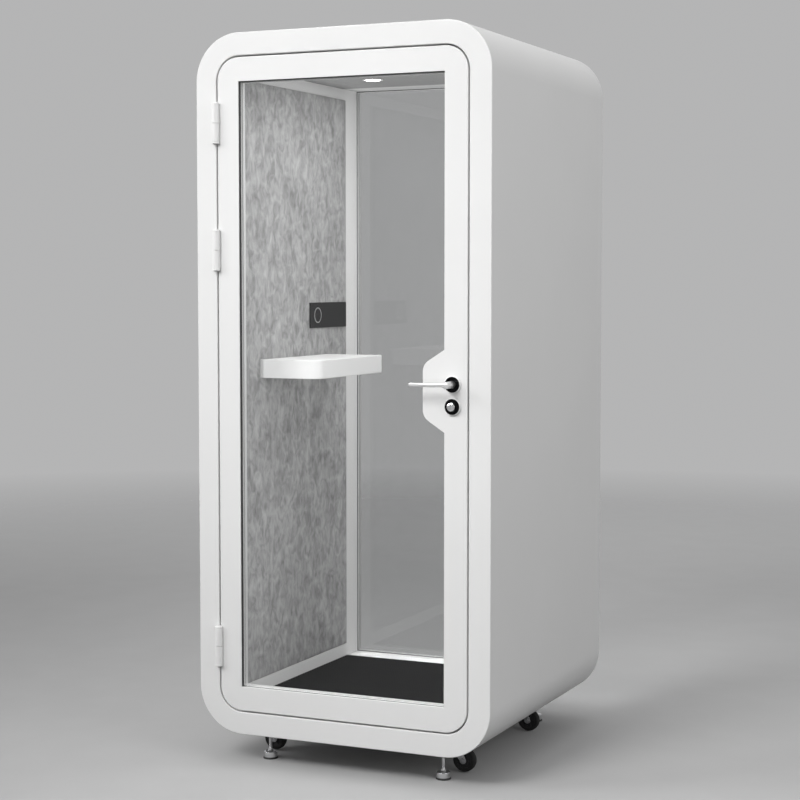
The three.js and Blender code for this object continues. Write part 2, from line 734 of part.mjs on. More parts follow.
// The latch's nose slopes back towards the rear, so that the closing door pushes it in
function latchBolt() {
  const back = LEAF_X - LATCH_BODY;
  const front = BOLT_Y - BOLT_THICKNESS / 2;
  const rear = BOLT_Y + BOLT_THICKNESS / 2;
  const shape = new THREE.Shape();
  shape.moveTo(back, front);
  shape.lineTo(LEAF_X + LATCH_NOSE, front);
  shape.lineTo(LEAF_X + LATCH_NOSE, BOLT_Y);
  shape.lineTo(LEAF_X, rear);
  shape.lineTo(back, rear);
  return alongZ(shape, LEVER_Z - LATCH_HEIGHT / 2, LEVER_Z + LATCH_HEIGHT / 2);
}

function deadBolt() {
  const tip = LEAF_X - CLEARANCE;
  return boltSpace(tip - DEADBOLT_BODY, tip, LOCK_Z, DEADBOLT_HEIGHT, 0);
}

place('door_leaf', doorLeaf(), WHITE);
place('door_glass', doorGlass(), GLASS);
place('door_gasket', doorGasket(), RUBBER);
place('lock_case', lockCase(), STEEL);
place('latch_bolt', latchBolt(), STEEL);
place('dead_bolt', deadBolt(), STEEL);
for (const { name, z } of HINGES) {
  place(`${name}_door_leaf`, hingeDoorLeaf(z), WHITE);
}

// Lever set and lock: roses outside, one plate inside, levers on a square spindle

function rose(z, holeRadius) {
  const face = FRONT - CLEARANCE - ROSE_THICKNESS;
  const disc = rodY(ROSE_RADIUS, face, FRONT - CLEARANCE, LOCK_X, z, LARGE_SIDES);
  return cut(disc, rodY(holeRadius, face - ROSE_THICKNESS, FRONT, LOCK_X, z));
}

// A bar with round ends from the spindle towards the hinge side
function leverBar(y0, y1) {
  const half = LEVER_BAR / 2;
  const tip = LOCK_X - LEVER_LENGTH;
  const end = LOCK_X + LEVER_NECK_RADIUS;
  const outline = roundedRect(tip, LEVER_Z - half, end, LEVER_Z + half, half);
  return alongY(outline, y0, y1, SMALL_ARC_STEPS);
}

// A square prism on the spindle's axis
function spindlePrism(width, y0, y1) {
  const half = width / 2;
  return box(LOCK_X - half, LOCK_X + half, y0, y1, LEVER_Z - half, LEVER_Z + half);
}

function outerLever() {
  const face = FRONT - LEVER_PROUD;
  const bar = leverBar(face, face + LEVER_BAR);
  const neck = rodY(LEVER_NECK_RADIUS, face, FRONT - CLEARANCE, LOCK_X, LEVER_Z);
  const spindle = spindlePrism(SPINDLE, FRONT - ROSE_THICKNESS, LEAF_REAR + SPINDLE_REACH);
  return join(bar, neck, spindle);
}

function innerLever() {
  const face = LEAF_REAR + INNER_LEVER_PROUD;
  const bar = leverBar(face - LEVER_BAR, face);
  const neck = rodY(LEVER_NECK_RADIUS, LEAF_REAR + CLEARANCE, face, LOCK_X, LEVER_Z);
  const reach = LEAF_REAR + SPINDLE_REACH + CLEARANCE;
  const socket = spindlePrism(SPINDLE + 2 * CLEARANCE, LEAF_REAR, reach);
  return cut(join(bar, neck), socket);
}

function innerLockPlate() {
  const half = INNER_PLATE_WIDTH / 2;
  const low = LOCK_Z - INNER_PLATE_MARGIN;
  const high = LEVER_Z + INNER_PLATE_MARGIN;
  const front = LEAF_REAR + CLEARANCE;
  const back = front + INNER_PLATE_THICKNESS;
  const outline = roundedRect(LOCK_X - half, low, LOCK_X + half, high, half);
  const plate = alongY(outline, front, back, SMALL_ARC_STEPS);
  const neckHole = rodY(LEVER_NECK_RADIUS + RUNNING, LEAF_REAR, back + SKIN, LOCK_X, LEVER_Z);
  const tailHole = rodY(TAIL_RADIUS + RUNNING, LEAF_REAR, back + SKIN, LOCK_X, LOCK_Z);
  return cut(plate, neckHole, tailHole);
}

function lockKnob() {
  const face = FRONT - KNOB_PROUD;
  const knob = rodY(KNOB_RADIUS, face, FRONT - CLEARANCE, LOCK_X, LOCK_Z);
  const tail = rodY(TAIL_RADIUS, FRONT - ROSE_THICKNESS, BOLT_Y - CLEARANCE, LOCK_X, LOCK_Z);
  const halfX = KNOB_SLOT / 2;
  const halfZ = KNOB_RADIUS / 2;
  const slotBack = face + KNOB_SLOT_DEPTH;
  const slotFront = face - KNOB_SLOT_DEPTH;
  const slot = box(LOCK_X - halfX, LOCK_X + halfX, slotFront, slotBack, LOCK_Z - halfZ, LOCK_Z + halfZ);
  return cut(join(knob, tail), slot);
}

function thumbTurn() {
  const seat = LEAF_REAR + INNER_PLATE_THICKNESS + 2 * CLEARANCE;
  const baseBack = seat + TURN_BASE_HEIGHT;
  const wingBack = baseBack + TURN_WING_HEIGHT;
  const tail = rodY(TAIL_RADIUS, BOLT_Y + CLEARANCE, baseBack, LOCK_X, LOCK_Z);
  const base = rodY(TURN_BASE_RADIUS, seat, baseBack, LOCK_X, LOCK_Z);
  const halfX = TURN_WING_WIDTH / 2;
  const halfZ = TURN_WING_LENGTH / 2;
  const outline = roundedRect(LOCK_X - halfX, LOCK_Z - halfZ, LOCK_X + halfX, LOCK_Z + halfZ, halfX);
  return join(tail, base, alongY(outline, seat, wingBack, SMALL_ARC_STEPS));
}

place('outer_lever_rose', rose(LEVER_Z, LEVER_NECK_RADIUS + RUNNING), BLACK_CHROME);
place('outer_lock_rose', rose(LOCK_Z, KNOB_RADIUS + RUNNING), BLACK_CHROME);
place('inner_lock_plate', innerLockPlate(), CHROME);
place('outer_lever', outerLever(), CHROME);
place('inner_lever', innerLever(), CHROME);
place('lock_knob', lockKnob(), CHROME);
place('thumb_turn', thumbTurn(), CHROME);

// Shelf, socket plate and push button on the left wall

const WALL_PIECE_X = -FELT_FACE + CLEARANCE;

function shelf() {
  const front = FRONT + SHELF_FROM_FRONT;
  const rear = front + SHELF_LENGTH;
  const right = WALL_PIECE_X + SHELF_PROJECTION;
  const shape = new THREE.Shape();
  shape.moveTo(WALL_PIECE_X, front);
  shape.lineTo(right - SHELF_RADIUS, front);
  shape.absarc(right - SHELF_RADIUS, front + SHELF_RADIUS, SHELF_RADIUS, -Math.PI / 2, 0);
  shape.lineTo(right, rear);
  shape.lineTo(WALL_PIECE_X, rear);
  const top = FLOOR + SHELF_TOP;
  return alongZ(shape, top - SHELF_THICKNESS, top);
}

const PLATE_Z = FLOOR + PLATE_HEIGHT;
const PLATE_REAR = STRIP_FRONT - PLATE_REAR_MARGIN;
const PLATE_FRONT = PLATE_REAR - PLATE_LENGTH;
const PLATE_FACE = WALL_PIECE_X + PLATE_THICKNESS;
const BUTTON_Y = PLATE_FRONT + BUTTON_INSET;

function socketPlate() {
  const half = PLATE_WIDTH / 2;
  const plate = box(WALL_PIECE_X, PLATE_FACE, PLATE_FRONT, PLATE_REAR, PLATE_Z - half, PLATE_Z + half);
  const hole = rodX(BUTTON_RADIUS + RUNNING, -HALF_WIDTH, 0, BUTTON_Y, PLATE_Z, LARGE_SIDES);
  return cut(plate, hole);
}

function pushButton() {
  const face = PLATE_FACE + BUTTON_PROUD;
  return rodX(BUTTON_RADIUS, face - BUTTON_THICKNESS, face, BUTTON_Y, PLATE_Z, LARGE_SIDES);
}

place('shelf', shelf(), WHITE);
place('socket_plate', socketPlate(), BLACK);
place('push_button', pushButton(), BLACK);

// Downlight: a can with a flange below the ceiling board, and a lens in its mouth

function downlightCan() {
  const flangeLow = CEILING - CLEARANCE - LIGHT_FLANGE_HEIGHT;
  const flangeHigh = CEILING - CLEARANCE;
  const bore = LIGHT_RADIUS - LIGHT_WALL;
  return turned([
    [bore, flangeLow],
    [LIGHT_RADIUS + LIGHT_FLANGE, flangeLow],
    [LIGHT_RADIUS + LIGHT_FLANGE, flangeHigh],
    [LIGHT_RADIUS, flangeHigh],
    [LIGHT_RADIUS, CEILING + LIGHT_HEIGHT],
    [0, CEILING + LIGHT_HEIGHT],
    [0, CEILING + LENS_TOP],
    [bore, CEILING + LENS_TOP],
    [bore, flangeLow],
  ], LIGHT_X, LIGHT_Y, LARGE_SIDES);
}

function downlightLens() {
  const low = CEILING - CLEARANCE - LIGHT_FLANGE_HEIGHT + LENS_SETBACK;
  const radius = LIGHT_RADIUS - LIGHT_WALL - CLEARANCE;
  return rodZ(radius, low, low + LENS_THICKNESS, LIGHT_X, LIGHT_Y, LARGE_SIDES);
}

place('downlight_can', downlightCan(), WHITE);
place('downlight_lens', downlightLens(), LENS);

// Roof fan: a duct through the roof with a spider that carries the shaft, and the rotor

const SPIDER_LOW = CEILING + SPIDER_RISE;
const ROTOR_TOP = SPIDER_LOW - FAN_GAP;
const ROTOR_LOW = ROTOR_TOP - FAN_HUB_HEIGHT;

function fanHousing() {
  const flangeLow = CEILING - CLEARANCE - FAN_FLANGE_HEIGHT;
  const flangeHigh = CEILING - CLEARANCE;
  const outer = DUCT_RADIUS + DUCT_WALL;
  const ductTop = TOP - SKIN - CLEARANCE;
  const duct = turned([
    [DUCT_RADIUS, flangeLow],
    [outer + FAN_FLANGE, flangeLow],
    [outer + FAN_FLANGE, flangeHigh],
    [outer, flangeHigh],
    [outer, ductTop],
    [DUCT_RADIUS, ductTop],
    [DUCT_RADIUS, flangeLow],
  ], FAN_X, FAN_Y, LARGE_SIDES);
  const high = SPIDER_LOW + SPIDER_THICKNESS;
  const reach = DUCT_RADIUS + DUCT_WALL / 2;
  const half = SPIDER_ARM / 2;
  const armX = box(FAN_X - reach, FAN_X + reach, FAN_Y - half, FAN_Y + half, SPIDER_LOW, high);
  const armY = box(FAN_X - half, FAN_X + half, FAN_Y - reach, FAN_Y + reach, SPIDER_LOW, high);
  const boss = rodZ(FAN_HUB_RADIUS, SPIDER_LOW, high, FAN_X, FAN_Y);
  const shaft = rodZ(FAN_SHAFT_RADIUS, ROTOR_LOW + FAN_SHAFT_END, high, FAN_X, FAN_Y);
  return join(duct, armX, armY, boss, shaft);
}

function fanBlade(index) {
  const root = FAN_HUB_RADIUS / 2;
  const span = DUCT_RADIUS - BLADE_TIP_GAP - root;
  const geometry = new THREE.BoxGeometry(span, BLADE_CHORD, BLADE_THICKNESS);
  geometry.rotateX(BLADE_TILT);
  geometry.translate(root + span / 2, 0, 0);
  geometry.rotateZ((index * 2 * Math.PI) / BLADE_COUNT);
  geometry.translate(FAN_X, FAN_Y, (ROTOR_LOW + ROTOR_TOP) / 2);
  return solid(geometry);
}

function fanRotor() {
  const hub = rodZ(FAN_HUB_RADIUS, ROTOR_LOW, ROTOR_TOP, FAN_X, FAN_Y);
  const blades = Array.from({ length: BLADE_COUNT }, (_, index) => fanBlade(index));
  const boreLow = ROTOR_LOW + FAN_SHAFT_END - CLEARANCE;
  const bore = rodZ(FAN_SHAFT_RADIUS + RUNNING, boreLow, TOP, FAN_X, FAN_Y);
  return cut(join(hub, ...blades), bore);
}

place('fan_housing', fanHousing(), BLACK);
place('fan_rotor', fanRotor(), BLACK);

// Levelling feet, screwed into the base platform

function levellingFoot(x, y) {
  const cupTop = FOOT_PAD_HEIGHT + FOOT_CUP_HEIGHT;
  const stemTop = BOTTOM + STEM_ENGAGEMENT;
  return turned([
    [0, 0],
    [FOOT_PAD_RADIUS, 0],
    [FOOT_PAD_RADIUS, FOOT_PAD_HEIGHT],
    [FOOT_CUP_RADIUS, FOOT_PAD_HEIGHT],
    [FOOT_CUP_RADIUS, cupTop - FOOT_CUP_CHAMFER],
    [FOOT_CUP_RADIUS - FOOT_CUP_CHAMFER, cupTop],
    [FOOT_FLARE_RADIUS, cupTop],
    [STEM_RADIUS, cupTop + FOOT_FLARE_HEIGHT],
    [STEM_RADIUS, stemTop],
    [0, stemTop],
  ], x, y, ROUND_SIDES);
}

// Castors: a fork that swivels on a kingpin, with the wheel trailing outwards on its axle

function castorFork(x, y, side) {
  const crownTop = BOTTOM - FORK_TOP_GAP;
  const crownLow = crownTop - FORK_CROWN;
  const wheelX = x + side * CASTOR_TRAIL;
  const inner = WHEEL_WIDTH / 2 + FORK_SIDE_GAP;
  const outer = inner + FORK_PLATE;
  const shape = new THREE.Shape();
  shape.moveTo(-FORK_HALF_LENGTH, crownTop);
  shape.lineTo(-FORK_HALF_LENGTH, crownLow);
  shape.lineTo(CASTOR_TRAIL - FORK_BOSS_RADIUS, AXLE_Z);
  shape.absarc(CASTOR_TRAIL, AXLE_Z, FORK_BOSS_RADIUS, Math.PI, 2 * Math.PI);
  shape.lineTo(FORK_HALF_LENGTH, crownTop);
  const plates = [-outer, inner].map((y0) => {
    const plate = alongY(shape, y0, y0 + FORK_PLATE, SMALL_ARC_STEPS);
    const facing = side > 0 ? plate : plate.mirror([1, 0, 0]);
    return facing.translate([x, y, 0]);
  });
  const half = FORK_HALF_LENGTH;
  const crown = box(x - half, x + half, y - outer, y + outer, crownLow, crownTop);
  const collar = rodZ(FORK_HALF_LENGTH, crownLow, BOTTOM - CLEARANCE, x, y);
  const kingpin = rodZ(KINGPIN_RADIUS, crownLow, BOTTOM + KINGPIN_RISE, x, y);
  const axle = rodY(AXLE_RADIUS, y - outer, y + outer, wheelX, AXLE_Z);
  return join(crown, ...plates, collar, kingpin, axle);
}

function castorWheel(x, y) {
  const half = WHEEL_WIDTH / 2;
  const bore = AXLE_RADIUS + RUNNING;
  const profile = [
    [bore, WHEEL_DISH - half],
    [WHEEL_RIM, WHEEL_DISH - half],
    [WHEEL_RIM + WHEEL_DISH, -half],
    [WHEEL_RADIUS - TREAD_ROUND, -half],
    [WHEEL_RADIUS, TREAD_ROUND - half],
    [WHEEL_RADIUS, half - TREAD_ROUND],
    [WHEEL_RADIUS - TREAD_ROUND, half],
    [WHEEL_RIM + WHEEL_DISH, half],
    [WHEEL_RIM, half - WHEEL_DISH],
    [bore, half - WHEEL_DISH],
    [bore, WHEEL_DISH - half],
  ];
  const points = profile.map(([radius, width]) => new THREE.Vector2(radius, width));
  const geometry = new THREE.LatheGeometry(points, LARGE_SIDES);
  geometry.translate(x, y, AXLE_Z);
  return solid(geometry);
}

for (const { name, side, end } of CORNERS) {
  place(`levelling_foot_${name}`, levellingFoot(side * FOOT_X, end * FOOT_Y), CHROME);
}
for (const { name, side, end } of CORNERS) {
  const x = side * CASTOR_X;
  const y = CASTOR_Y[end];
  place(`castor_fork_${name}`, castorFork(x, y, side), STEEL);
  place(`castor_wheel_${name}`, castorWheel(x + side * CASTOR_TRAIL, y), RUBBER);
}

export default pod;
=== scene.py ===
"""Looks of a single-person acoustic office pod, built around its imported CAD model.
Metres, +Z up, the door faces -Y and the feet stand on z = 0."""

import json
import math

import bmesh
import bpy
from mathutils import Matrix, Vector, noise


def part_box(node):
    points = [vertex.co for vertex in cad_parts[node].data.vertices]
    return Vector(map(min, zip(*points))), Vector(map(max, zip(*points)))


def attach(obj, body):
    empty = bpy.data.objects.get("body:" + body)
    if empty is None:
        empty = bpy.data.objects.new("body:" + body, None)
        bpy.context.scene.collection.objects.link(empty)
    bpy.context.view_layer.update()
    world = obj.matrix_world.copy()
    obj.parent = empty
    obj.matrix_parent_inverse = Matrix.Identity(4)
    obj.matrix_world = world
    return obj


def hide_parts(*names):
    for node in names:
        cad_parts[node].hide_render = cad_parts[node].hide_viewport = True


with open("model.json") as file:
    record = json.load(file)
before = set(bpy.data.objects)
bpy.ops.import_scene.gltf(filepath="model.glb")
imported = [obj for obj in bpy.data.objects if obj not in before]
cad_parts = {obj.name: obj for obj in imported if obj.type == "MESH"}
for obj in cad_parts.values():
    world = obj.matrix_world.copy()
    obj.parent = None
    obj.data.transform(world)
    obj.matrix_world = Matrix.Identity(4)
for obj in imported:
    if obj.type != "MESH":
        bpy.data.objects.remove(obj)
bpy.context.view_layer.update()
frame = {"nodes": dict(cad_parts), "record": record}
RECORD = frame["record"]
BODY_OF = {n: body for body, members in RECORD["behaviour"]["bodies"].items() for n in members}
SLOT_OF = {row["node"]: row["material_slot"] for row in RECORD["subparts"]}
MM = 0.001
TURN = 2 * math.pi
WHITE = (0.83, 0.83, 0.825)


# Materials: a Principled shader fed by procedural textures in the part's own metres

class Look:
    def __init__(self, name):
        self.mat = bpy.data.materials.new(name)
        self.mat.use_nodes = True
        self.tree = self.mat.node_tree
        self.bsdf = self.tree.nodes["Principled BSDF"]
        self.at = self.add("TexCoord").outputs["Object"]

    def add(self, kind, inputs=(), **settings):
        made = self.tree.nodes.new("ShaderNode" + kind)
        for key, value in settings.items():
            setattr(made, key, value)
        for key, value in dict(inputs).items():
            self.feed(made.inputs[key], value)
        return made

    def feed(self, socket, value):
        if isinstance(value, bpy.types.NodeSocket):
            self.tree.links.new(value, socket)
        else:
            socket.default_value = value

    def mapped(self, scale, rotation=(0, 0, 0)):
        return self.add("Mapping", {"Vector": self.at, "Scale": scale, "Rotation": rotation}).outputs[0]

    def noise(self, scale, detail=3.0, rough=0.5, at=None, warp=0.0):
        inputs = {"Vector": at or self.at, "Scale": scale, "Detail": detail, "Roughness": rough, "Distortion": warp}
        return self.add("TexNoise", inputs).outputs[0]

    def cells(self, scale, feature="F1", at=None):
        return self.add("TexVoronoi", {"Vector": at or self.at, "Scale": scale}, feature=feature).outputs[0]

    def math(self, operation, a, b=0.0):
        made = self.add("Math", operation=operation)
        self.feed(made.inputs[0], a)
        self.feed(made.inputs[1], b)
        return made.outputs[0]

    def span(self, value, low, high, first, last):
        inputs = {"Value": value, "From Min": low, "From Max": high, "To Min": first, "To Max": last}
        return self.add("MapRange", inputs).outputs[0]

    def ramp(self, value, *stops):
        made = self.add("ValToRGB", {"Fac": value})
        steps = made.color_ramp.elements
        while len(steps) < len(stops):
            steps.new(0.5)
        for step, (place, tone) in zip(steps, stops):
            step.position = place
            step.color = (*(tone if isinstance(tone, tuple) else (tone,) * 3), 1)
        return made.outputs[0]

    def blend(self, factor, a, b, kind="MIX"):
        made = self.add("Mix", data_type="RGBA", blend_type=kind)
        for index, value in ((0, factor), (6, a), (7, b)):
            self.feed(made.inputs[index], value)
        return made.outputs[2]

    def bump(self, height, strength, distance, under=None):
        inputs = {"Height": height, "Strength": strength, "Distance": distance}
        if under is not None:
            inputs["Normal"] = under
        return self.add("Bump", inputs).outputs[0]

    def done(self, **inputs):
        for key, value in inputs.items():
            self.feed(self.bsdf.inputs[key.replace("_", " ")], value)
        return self.mat


def painted(name, tone, rough, grain, depth):
    """White coating with an orange-peel grain, faint clouding and scuffs low down."""
    look = Look(name)
    cloud = look.noise(2.3, 2)
    scuff = look.noise(38, 5, 0.6, at=look.mapped((1, 1, 0.3)))
    height = look.add("SeparateXYZ", {"Vector": look.at}).outputs[2]
    low = look.span(height, 0.1, 0.34, 1, 0)
    marks = look.math("MULTIPLY", look.span(scuff, 0.6, 0.75, 0, 0.1), low)
    base = look.ramp(cloud, (0.3, tuple(c * 0.975 for c in tone)), (0.7, tone))
    colour = look.blend(marks, base, (*(c * 0.8 for c in tone), 1))
    fine = look.noise(grain, 2)
    shine = look.span(look.noise(55, 4), 0.3, 0.7, rough - 0.04, rough + 0.05)
    return look.done(Base_Color=colour, Roughness=shine, Normal=look.bump(fine, 0.12, depth), IOR=1.48)


def felt_look(name, dark, mid, pale, contrast=1.0):
    """Pressed fibre felt: soft blotches and a mottle, crossed by short strokes that lean both ways."""
    look = Look(name)
    blotted = look.mapped((1, 1, 0.8), (math.radians(10), 0, math.radians(3)))
    drawn = look.mapped((1, 1, 0.42), (math.radians(-14), 0, math.radians(3)))
    blotch = look.noise(11, 2, 0.5, at=blotted, warp=0.8)
    mottle = look.noise(29, 2, 0.5, at=blotted, warp=1.2)
    stroke = look.noise(40, 1.5, 0.5, at=drawn, warp=0.7)
    fleck = look.noise(120, 2, 0.5, at=drawn)
    fibre = look.noise(1000, 2, 0.6, at=look.mapped((1, 1, 0.25)))
    tone = look.math("MULTIPLY", blotch, 0.2)
    for layer, share in ((mottle, 0.42), (stroke, 0.28), (fleck, 0.1)):
        tone = look.math("ADD", tone, look.math("MULTIPLY", layer, share))
    reach = 0.15 / contrast
    colour = look.ramp(tone, (0.5 - reach, dark), (0.5, mid), (0.5 + reach, pale))
    colour = look.blend(look.span(fibre, 0.35, 0.75, 0, 0.1), colour, (pale, pale, pale, 1))
    soft = look.bump(fibre, 0.5, 0.0006, look.bump(mottle, 0.4, 0.0015))
    rough = look.span(fleck, 0.3, 0.7, 0.86, 0.98)
    return look.done(Base_Color=colour, Roughness=rough, Normal=soft, Sheen_Weight=0.12, Sheen_Roughness=0.6)


def carpet_look():
    look = Look("carpet_loops")
    yarn = look.noise(900, 3)
    patch = look.noise(14, 3)
    tone = look.math("ADD", look.math("MULTIPLY", yarn, 0.7), look.math("MULTIPLY", patch, 0.3))
    colour = look.ramp(tone, (0.3, (0.003, 0.003, 0.003)), (0.7, (0.012, 0.012, 0.0125)))
    rough = look.span(yarn, 0.3, 0.7, 0.85, 1)
    return look.done(Base_Color=colour, Roughness=rough, Normal=look.bump(yarn, 0.6, 0.0008),
                     Specular_IOR_Level=0.1)


def dark_look(name, tone, rough, grain, depth):
    """Moulded black plastic or rubber with a fine grain and dusty variation."""
    look = Look(name)
    dust = look.noise(45, 4, 0.6)
    colour = look.ramp(dust, (0.35, tone), (0.75, tuple(c * 1.6 + 0.002 for c in tone)))
    pitted = look.cells(grain)
    shine = look.span(dust, 0.3, 0.7, rough, rough + 0.12)
    return look.done(Base_Color=colour, Roughness=shine, Normal=look.bump(pitted, 0.2, depth), Specular_IOR_Level=0.3)


def metal_look(name, tone, rough, streak=(1, 1, 1), depth=0.00004):
    """Plated metal with hairline polishing marks along one axis."""
    look = Look(name)
    hair = look.noise(420, 3, 0.6, at=look.mapped(streak))
    film = look.noise(30, 3)
    colour = look.ramp(film, (0.3, tuple(c * 0.93 for c in tone)), (0.7, tone))
    shine = look.span(hair, 0.3, 0.7, rough * 0.7, rough * 1.5)
    return look.done(Base_Color=colour, Roughness=shine, Metallic=1.0, Normal=look.bump(hair, 0.15, depth))


def rose_look(name, centres, rim):
    """A black plated disc in a pale turned rim, for round plates centred at (x, z) on the door."""
    look = Look(name)
    flat = look.mapped((1, 0, 1))
    reach = 1.0
    for x, z in centres:
        away = look.add("VectorMath", {0: flat, 1: (x, 0, z)}, operation="DISTANCE").outputs["Value"]
        reach = look.math("MINIMUM", reach, away)
    edge = look.span(reach, rim - 0.1 * MM, rim + 0.1 * MM, 0, 1)
    film = look.noise(30, 3)
    hair = look.noise(420, 3, 0.6)
    plate = look.ramp(film, (0.3, (0.011, 0.011, 0.012)), (0.7, (0.013, 0.013, 0.014)))
    pale = look.ramp(film, (0.3, tuple(c * 0.97 for c in WHITE)), (0.7, WHITE))
    shine = look.math("ADD", look.span(hair, 0.3, 0.7, 0.05, 0.1), look.math("MULTIPLY", edge, 0.25))
    return look.done(Base_Color=look.blend(edge, plate, pale), Metallic=look.math("SUBTRACT", 1.0, edge),
                     Roughness=shine, Normal=look.bump(hair, 0.15, 0.00004))


def glass_look(name, tint, mirror_base):
    """A clear pane: Schlick reflection over a lightly tinted see-through body, with faint wipe marks."""
    look = Look(name)
    facing = look.add("LayerWeight", {"Blend": 0.5}).outputs["Facing"]
    grazing = look.math("POWER", facing, 5.0)
    mirror = look.math("ADD", look.math("MULTIPLY", grazing, 0.9), mirror_base)
    wipe = look.noise(9, 4, 0.6, at=look.mapped((1, 1, 0.4), (0, math.radians(20), 0)))
    shine = look.add("BsdfGlossy", {"Color": (1, 1, 1, 1), "Roughness": look.span(wipe, 0.45, 0.8, 0.0, 0.05)})
    body = look.add("BsdfTransparent", {"Color": (*tint, 1)})
    mix = look.add("MixShader", {"Fac": mirror})
    look.tree.links.new(body.outputs[0], mix.inputs[1])
    look.tree.links.new(shine.outputs[0], mix.inputs[2])
    look.tree.links.new(mix.outputs[0], look.tree.nodes["Material Output"].inputs["Surface"])
    look.tree.nodes.remove(look.bsdf)
    return look.mat


def lens_look():
    look = Look("opal_lens")
    cells = look.cells(260)
    glow = look.ramp(cells, (0.0, (1, 1, 0.98)), (0.8, (0.86, 0.86, 0.85)))
    return look.done(
        Base_Color=glow, Roughness=look.span(cells, 0, 0.6, 0.3, 0.5), Emission_Color=glow, Emission_Strength=14.0)


def wood_look():
    """Plywood: thin plies seen on edge and a long grain on the face."""
    look = Look("birch_plywood")
    plies = look.add("TexWave", {"Vector": look.at, "Scale": 110.0, "Distortion": 0.6}, bands_direction="Z")
    grain = look.noise(60, 4, at=look.mapped((0.08, 1, 1)))
    mixed = look.math("ADD", look.math("MULTIPLY", plies.outputs[1], 0.5), look.math("MULTIPLY", grain, 0.5))
    colour = look.ramp(mixed, (0.25, (0.22, 0.12, 0.05)), (0.75, (0.52, 0.35, 0.19)))
    return look.done(Base_Color=colour, Roughness=look.span(grain, 0.3, 0.7, 0.6, 0.8), Normal=look.bump(grain, 0.2, 0.0003))


LOOKS = {
    "white_shell": painted("white_lacquer", WHITE, 0.34, 700, 0.00008),
    "white_skin": painted("white_powder_coat", WHITE, 0.4, 1100, 0.0001),
    "white_board": painted("white_laminate", (0.8, 0.8, 0.795), 0.46, 1500, 0.00006),
    "felt": felt_look("marbled_felt", 0.18, 0.33, 0.48),
    "ceiling_felt": felt_look("ceiling_felt", 0.27, 0.3, 0.33, 0.7),
    "core": felt_look("fibre_core", 0.12, 0.2, 0.3),
    "plywood": wood_look(),
    "carpet": carpet_look(),
    "rubber": dark_look("seal_rubber", (0.04, 0.04, 0.04), 0.6, 900, 0.0001),
    "black_plastic": dark_look("black_plastic", (0.013, 0.013, 0.0135), 0.42, 1300, 0.00006),
    "chrome": metal_look("polished_chrome", (0.83, 0.83, 0.84), 0.1),
    "black_chrome": metal_look("black_chrome", (0.012, 0.012, 0.013), 0.07),
    "steel": metal_look("zinc_plate", (0.42, 0.42, 0.43), 0.3),
    "glass": glass_look("clear_glass", (0.97, 0.972, 0.972), 0.018),
    "lens": lens_look(),
    "tyre": dark_look("castor_tread", (0.016, 0.016, 0.016), 0.7, 700, 0.0002),
}
TINTED_GLASS = glass_look("tinted_glass", (0.86, 0.863, 0.863), 0.042)
# Partly painted light: the door seal's pale grey stands in for light in the door gap and lifts the shade there; a grey
# seal is also a real finish.
GAP_LIGHTENING_SEAL = dark_look("seal_grey_lifting_gap_shade", (0.28, 0.28, 0.28), 0.6, 900, 0.0001)
HUB_GREY = dark_look("hub_plastic", (0.022, 0.022, 0.023), 0.5, 1200, 0.00006)
SATIN = metal_look("satin_nickel", (0.9, 0.9, 0.9), 0.36)
RING_GREY = metal_look("ring_plate", (0.8, 0.8, 0.8), 0.45)

for name, part in frame["nodes"].items():
    part.data.materials.clear()
    part.data.materials.append(LOOKS[SLOT_OF[name]])
frame["nodes"]["rear_glass"].data.materials[0] = TINTED_GLASS


# Outlines: closed lists of 2-D points, counter-clockwise round material and clockwise round a hole

def arc(cx, cy, radius, first, last, steps):
    span = [first + (last - first) * i / steps for i in range(steps + 1)]
    return [Vector((cx + radius * math.cos(a), cy + radius * math.sin(a))) for a in span]


def circle(cx, cy, radius, steps=48):
    return arc(cx, cy, radius, 0, TURN, steps)[:-1]


def hole(outline):
    return outline[::-1]


def rounded_rect(left, low, right, high, radius, steps=8):
    quarter = math.pi / 2
    return (arc(right - radius, low + radius, radius, -quarter, 0, steps)
            + arc(right - radius, high - radius, radius, 0, quarter, steps)
            + arc(left + radius, high - radius, radius, quarter, 2 * quarter, steps)
            + arc(left + radius, low + radius, radius, 2 * quarter, 3 * quarter, steps))


def rect(left, low, right, high):
    return [Vector(p) for p in ((left, low), (right, low), (right, high), (left, high))]


def drawn_in(outline, depth):
    """The outline moved to its left by depth, so into the material."""
    moved = []
    for i, here in enumerate(outline):
        before = (here - outline[i - 1]).normalized()
        after = (outline[(i + 1) % len(outline)] - here).normalized()
        left = Vector((-before.y, before.x))
        way = left + Vector((-after.y, after.x))
        moved.append(here + way * (depth / max(way.dot(left), 0.2)))
    return moved


def filleted(points, radius, closed=False, steps=4):
    """A polyline with each corner rounded by up to radius."""
    out = []
    count = len(points)
    pts = [Vector(p) for p in points]
    for i, here in enumerate(pts):
        if not closed and i in (0, count - 1):
            out.append(here)
            continue
        to_prev = pts[i - 1] - here
        to_next = pts[(i + 1) % count] - here
        half = to_prev.angle(to_next) / 2
        reach = min(radius / math.tan(half), 0.48 * to_prev.length, 0.48 * to_next.length)
        a = here + to_prev.normalized() * reach
        b = here + to_next.normalized() * reach
        for k in range(steps + 1):
            t = k / steps
            out.append((1 - t) ** 2 * a + 2 * t * (1 - t) * here + t * t * b)
    return out


# Meshes

def along_x(u, v, w):
    return Vector((w, u, v))


def along_y(u, v, w):
    return Vector((u, w, v))


def along_z(u, v, w):
    return Vector((u, v, w))


def wall(bm, loops, wrap=False, closed=True):
    """Quads between successive loops of points. Returns the rings of vertices."""
    rings = [[bm.verts.new(p) for p in loop] for loop in loops]
    pairs = list(zip(rings, rings[1:]))
    if wrap:
        pairs.append((rings[-1], rings[0]))
    for a, b in pairs:
        for i in range(len(a) if closed else len(a) - 1):
            j = (i + 1) % len(a)
            bm.faces.new((a[i], a[j], b[j], b[i]))
    return rings


